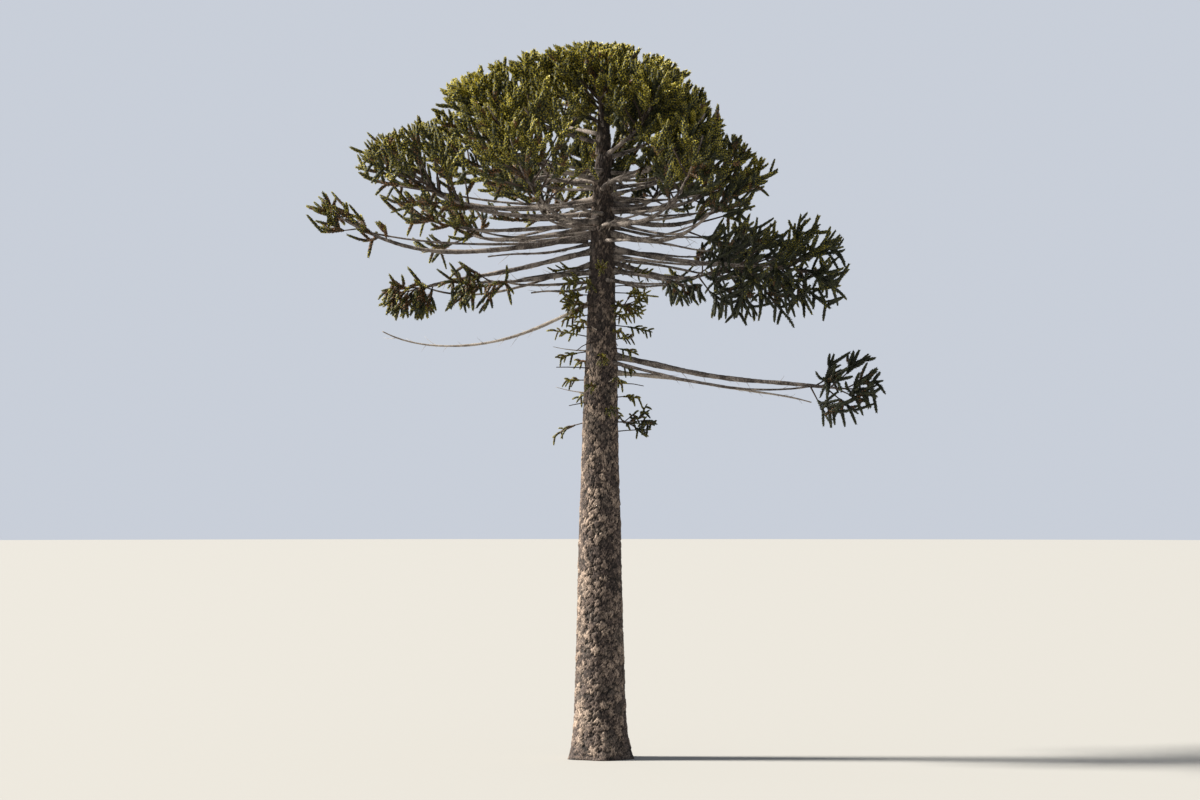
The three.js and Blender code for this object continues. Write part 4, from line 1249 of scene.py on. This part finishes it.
def placed_limb_line(limb):
    """The centre line of a thin limb that stands by itself: straight from the trunk to its end, less a sag
    that is widest at its middle, and with one small wave."""
    root = trunk_axis(np.float64(limb["foot"]))
    along = outward(limb["azimuth"]) * limb["reach"] + UP * (limb["tip"] - limb["foot"])

    def line(t):
        t = np.asarray(t, float)[..., None]
        hump = 4 * t * (1 - t)
        wander = PLACED_WANDER * np.sin(PLACED_WAVES * t + limb["azimuth"]) * hump
        return root + along * t + (wander - limb["sag"] * hump) * UP

    return line


def thin_limb_line(bough, number):
    """The centre line of a thin limb beside a bough, from the trunk a little above or below the bough's
    foot to the bough's stem: a straight run, less a sag that is widest past its middle, and a curve to
    one side with a small wave."""
    seed = bough["seed"] + THIN_SEED_STEP * number
    above = (1 if number else -1) * (THIN_ABOVE + THIN_ABOVE_VARIES * chance(seed, 31, 2))
    root = trunk_axis(np.float64(bough["foot"] + above))
    joins = THIN_JOINS + THIN_JOINS_VARIES * chance(seed, 31, 3)
    along = bough["line"](np.float64(bough["bare"] + (1 - bough["bare"]) * joins)) - root
    aside = THIN_ASIDE + THIN_ASIDE_VARIES * chance(seed, 31, 4)
    side = unit(np.array([-along[1], along[0], 0.0])) * (1 if number else -1) * aside
    sag = (THIN_SAG + THIN_SAG_VARIES * chance(seed, 31, 5)) * np.linalg.norm(along)

    def line(t):
        t = np.asarray(t, float)[..., None]
        hump = t * (1 - t) * 4
        wander = THIN_WANDER * np.sin(THIN_WAVES * t + seed) * t * (1 - t)
        return root + along * t + side * (hump + wander) - UP * sag * hump * (0.5 + t)

    return line


def thin_limb(line, start, thins, seed, bare, stubs):
    """A thin limb, whose radius falls evenly by thins, and the dead sprigs on its bare share."""
    tube = limb_tube(line, start, 1.0, lambda t: THIN_RADIUS - thins * t, seed, THIN_RINGS, THIN_COLLAR)
    return tube, sprig_tubes(line, bare, stubs, seed + STUB_SEED, THIN_STUB_RADIUS)


def stem_line_radius(mass):
    """The radius along a mass's line where it is a stem."""
    stem = stem_radius(mass)
    start = mass["start"]
    return lambda t: stem((t - start) / (STEM_END - start))


def bough_line_radius(mass):
    """The radius along a whole bough: the bare bough's as far as its leaves, and from there its stem's."""
    limb = bough_radius(mass)
    stem = stem_line_radius(mass)
    bare = mass["start"]
    return lambda t: np.where(t < bare, limb(t / bare), stem(t))


def trunk_twig(twig, seed):
    """A bare twig on the trunk, which thins evenly towards its end."""
    start = TRUNK_TWIG_ROOT * trunk_radius(twig["foot"]) / twig["length"]
    radius_at = lambda t: twig["thick"] * (TRUNK_TWIG_FOOT - TRUNK_TWIG_THINS * np.clip(t, 0, 1))
    return limb_tube(tuft_line(twig), start, 1.0, radius_at, seed, TRUNK_TWIG_RINGS, THIN_COLLAR)


class TREE_OT_limbs(bpy.types.Operator):
    """Builds the boughs and the stems that go on from them, with bark relief, and the dead sprigs on them"""

    bl_idname = "tree.limbs"
    bl_label = "Build limbs"

    def execute(self, context):
        read_settings()
        tree = Tree()
        tubing = []
        sprigs = []
        for mass in tree.masses:
            line = mass["line"]
            seed = mass["seed"]
            if mass["hidden"]:
                start = mass["start"]
                radius_at = stem_line_radius(mass)
                tubing.append(limb_tube(line, start, STEM_END, radius_at, seed, STEM_RINGS, STEM_COLLAR))
                continue
            start = LIMB_ROOT * trunk_radius(mass["foot"]) / mass["reach"]
            radius_at = bough_line_radius(mass)
            tubing.append(limb_tube(line, start, STEM_END, radius_at, seed, collar=BOUGH_COLLAR))
            sprigs.append(sprig_tubes(line, mass["start"], BOUGH_STUBS, seed, BOUGH_STUB_RADIUS))
            for number in range(2 if "count" in mass else 1):
                line = thin_limb_line(mass, number)
                thin_seed = THIN_SEED + THIN_SEED_STEP * number + seed
                thin = thin_limb(line, THIN_START, THIN_THINS, thin_seed, THIN_BARE, THIN_STUBS)
                tubing.append(thin[0])
                sprigs.append(thin[1])
        for k, limb in enumerate(THIN_LIMBS):
            start = PLACED_ROOT * trunk_radius(limb["foot"]) / limb["reach"]
            line = placed_limb_line(limb)
            thin = thin_limb(line, start, PLACED_THINS, PLACED_SEED + k, PLACED_BARE, PLACED_STUBS)
            tubing.append(thin[0])
            sprigs.append(thin[1])
        # Living bark on the limbs, darkened with painted shade of the crown: dark brown, with greyer patches
        # of painted light getting in.
        stops = [(0.3, "#1c1816"), (0.48, "#352e2b"), (0.62, "#554d48"), (0.8, "#8d837b")]
        bark = limb_bark("Thin limb bark", stops, 0.9)
        limbs = make_piece("limbs_bark", *join(tubing), bark, "bough_bark", True)
        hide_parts(*[name for name in BOUGH_NODES if name not in DEAD_NODES])
        # Dead limbs that have weathered in the open: dry, pale grey and dull.
        stops = [(0.3, "#564e47"), (0.55, "#857b72"), (0.8, "#b0a69b")]
        grey = limb_bark("Weathered dead wood", stops, 0.93)
        dead = []
        for bough in tree.dead:
            line = bough["line"]
            seed = bough["seed"]
            start = LIMB_ROOT * trunk_radius(bough["foot"]) / bough["reach"]
            dead.append(limb_tube(line, start, 1.0, dead_radius(bough), seed, DEAD_RINGS, DEAD_COLLAR))
            dead.append(sprig_tubes(line, DEAD_BARE, DEAD_STUBS, seed, DEAD_STUB_RADIUS))
        piece = make_piece("dead_boughs", *join(dead), grey, "dead_wood", True)
        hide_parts(*DEAD_NODES)
        sprigs += [trunk_twig(twig, TRUNK_TWIG_SEED + k) for k, twig in enumerate(TRUNK_TWIGS)]
        make_piece("dead_sprigs", *join(sprigs), grey, "dead_wood", True)
        return {"FINISHED"}


class TREE_OT_foliage(bpy.types.Operator):
    """Builds the twigs and shoots of every mass by the source's rule, and deals the leaves out by colour"""

    bl_idname = "tree.foliage"
    bl_label = "Build foliage"

    def add_shoots(self, shoots, start, end, length, keys, kind, rust):
        """Adds the stems of shoots of one length, and their leaves to the lists of their colours."""
        count = round(length * kind["leaves"])
        share = (np.arange(count) + 0.5) / count
        sizes = kind["girth"] * (1 + jitter(keys, 14, 15, SHOOT_GIRTH_VARIES))
        self.cores.append(shoot_cores(shoots, start, end, sizes))
        corners = scale_leaves(shoots, start, end, share, sizes, keys)
        tones = leaf_tones(shoots.points(end[:, None])[:, 0], rust, keys, share, kind["lighter"])
        for tone, group in enumerate(self.leaves):
            group.append(corners[tones == tone])

    def add_mass(self, tree, number):
        """Adds a mass's twigs, the shoots at their ends and behind them, and the side shoots of both."""
        mass = tree.masses[number]
        kind = KINDS[mass["kind"]]
        main, bare, free, order = make_twigs(tree, number, kind["finer"])
        self.twigs.append(bare_twigs(main, bare, mass["size"] ** 0.5))
        groups = [(main, bare, free, order + 0.0)]
        side = make_side_sprays(tree, number, main, bare, order) if mass["fork"] else None
        if side:
            groups.append((side[0], 0 * side[1], side[1], SIDE_SPRAY_KEYS + np.arange(len(side[1]))))
        for sprays, start, end, seeds in groups:
            keys = seeds + MASS_KEYS * number
            shoots, reach, spray, k = make_fans(tree, number, sprays, start, end, keys)
            self.add_shoots(sprays, start, end, mass["size"] * SPRAY_LENGTH, keys, kind, mass["rust"])
            keys = keys[spray] + SIDE_SHOOT_KEYS * (k + 1)
            self.add_shoots(shoots, 0 * reach, reach, kind["length"], keys, kind, mass["rust"])

    def add_sprigs(self):
        """Adds the sprigs on the trunk: a bare twig each, and shoots on all but the bare ones."""
        kind = KINDS["sprig"]
        sprigs, keys = trunk_sprigs()
        self.twigs.append(bare_twigs(sprigs, np.ones(len(keys)), SPRIG_GIRTH))
        leafy = np.mod(np.arange(len(keys)), BARE_SPRIG_EVERY) > 0
        sprigs = sprigs.pick(leafy)
        keys = keys[leafy]
        start = np.full(len(keys), SPRIG_BARE)
        end = np.ones(len(keys))
        shoots, spray, k = side_shoots(sprigs, start, end, keys, kind, 0.0)
        self.add_shoots(sprigs, start, end, SPRIG_LENGTH * (1 - SPRIG_BARE), keys, kind, SPRIG_RUST)
        keys = keys[spray] + SIDE_SHOOT_KEYS * (k + 1)
        self.add_shoots(shoots, 0.0 * k, 1.0 + 0 * k, kind["length"], keys, kind, SPRIG_RUST)

    def execute(self, context):
        read_settings()
        tree = Tree()
        self.twigs = []
        self.cores = []
        self.leaves = [[] for _ in TONES]
        for number in range(len(tree.masses)):
            self.add_mass(tree, number)
        self.add_sprigs()
        # Dry bark on thin wood, as it grew: dark brown and dull.
        brown, _, _ = new_material("Leafless twig bark", 0.85, linear("#3a2d24"))
        piece = make_piece("twigs", *join(self.twigs), brown, "foliage", True)
        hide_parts(*FOLIAGE_NODES)
        # A green stem in the shade of its own leaves: nearly black, so that the leaves stand out.
        stem, _, _ = new_material("Green shoot stem", 0.75, linear("#282c17"))
        make_piece("shoot_stems", *join(self.cores), stem, "foliage", True)
        colours = context.scene.tree_colours
        # One leaf material for each tone, from painted shade to painted sunlight, and one for rust.
        for key, parts in zip(TONES, self.leaves):
            label = colours.bl_rna.properties[key].name
            # A leathery leaf with a thin coat of wax: a soft, weak gloss.
            material, _, shader = new_material(f"Waxy leaf, {label.lower()}", 0.5, getattr(colours, key))
            shader.inputs["Specular IOR Level"].default_value = 0.35
            corners = np.concatenate(parts)
            count = math.ceil(len(corners) / LEAVES_PER_PIECE)
            for part, chosen in enumerate(np.array_split(corners, count)):
                faces = leaf_faces(len(chosen))
                make_piece(f"{key}_{part + 1}", chosen.reshape(-1, 3), faces, material, "foliage")
        return {"FINISHED"}


class TREE_OT_stage(bpy.types.Operator):
    """Builds the pale floor, the soft light and the camera at the photograph's viewing angle"""

    bl_idname = "tree.stage"
    bl_label = "Build stage"

    def execute(self, context):
        scene = context.scene
        mesh = bpy.data.meshes.new("floor")
        corners = FLOOR_RADIUS * outward(360 * np.arange(FLOOR_SIDES) / FLOOR_SIDES)
        mesh.from_pydata(corners.tolist(), [], [list(range(FLOOR_SIDES))])
        # Rolled matt paint: pale, even and without a gloss.
        material, _, _ = new_material("Matt floor paint", 0.95, scene.tree_colours.floor)
        mesh.materials.append(material)
        floor = bpy.data.objects.new("floor", mesh)
        scene.collection.objects.link(floor)
        world = bpy.data.worlds.new("Pale studio")
        world.use_nodes = True
        shade = world.node_tree.nodes["Background"]
        shade.inputs["Color"].default_value = linear("#e8effb")
        # The backdrop looks paler than the light that it gives, as a lit wall behind the set would.
        seen = add_node(world.node_tree, "ShaderNodeLightPath").outputs["Is Camera Ray"]
        levels = {0: seen, 1: BACKDROP_EXTRA, 2: WORLD_LIGHT}
        bright = add_node(world.node_tree, "ShaderNodeMath", levels, operation="MULTIPLY_ADD")
        world.node_tree.links.new(bright.outputs[0], shade.inputs["Strength"])
        scene.world = world
        sun = bpy.data.lights.new("key", "SUN")
        sun.energy = SUN_STRENGTH
        sun.angle = SUN_SIZE
        sun.color = SUN_COLOUR
        key = bpy.data.objects.new("key", sun)
        scene.collection.objects.link(key)
        toward = outward(SUN_AZIMUTH) * math.cos(SUN_ELEVATION) + UP * math.sin(SUN_ELEVATION)
        key.rotation_mode = "QUATERNION"
        key.rotation_quaternion = Vector(toward).to_track_quat("Z", "Y")
        camera = bpy.data.cameras.new("camera")
        camera.lens = LENS
        camera.clip_end = CLIP_END
        eye = bpy.data.objects.new("camera", camera)
        scene.collection.objects.link(eye)
        eye.location = (0.0, -VIEW_DISTANCE, EYE_HEIGHT)
        eye.rotation_mode = "QUATERNION"
        back = Vector((0.0, -VIEW_DISTANCE, EYE_HEIGHT - VIEW_CENTRE))
        eye.rotation_quaternion = back.to_track_quat("Z", "Y")
        scene.camera = eye
        scene.view_settings.view_transform = "Standard"
        return {"FINISHED"}


class TREE_PT_panel(bpy.types.Panel):
    """Lists the tree's operators and its sizes and colours"""

    bl_label = "Monkey puzzle tree"
    bl_idname = "TREE_PT_panel"
    bl_space_type = "VIEW_3D"
    bl_region_type = "UI"
    bl_category = "Tree"

    def draw(self, context):
        layout = self.layout
        for group in (context.scene.tree_sizes, context.scene.tree_colours):
            for key in group.__annotations__:
                layout.prop(group, key)
        for operator in OPERATORS:
            layout.operator(operator.bl_idname)


OPERATORS = (TREE_OT_trunk, TREE_OT_limbs, TREE_OT_foliage, TREE_OT_stage)
CLASSES = (TreeSizes, TreeColours) + OPERATORS + (TREE_PT_panel,)


def register():
    """Registers the classes and hangs the two groups of values on the scene."""
    for one in CLASSES:
        bpy.utils.register_class(one)
    bpy.types.Scene.tree_sizes = bpy.props.PointerProperty(type=TreeSizes)
    bpy.types.Scene.tree_colours = bpy.props.PointerProperty(type=TreeColours)


def unregister():
    """Takes off what register added."""
    del bpy.types.Scene.tree_colours
    del bpy.types.Scene.tree_sizes
    for one in reversed(CLASSES):
        bpy.utils.unregister_class(one)


def main():
    register()
    bpy.ops.tree.stage()
    bpy.ops.tree.trunk()
    bpy.ops.tree.limbs()
    bpy.ops.tree.foliage()
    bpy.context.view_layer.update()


if __name__ == "__main__":
    main()
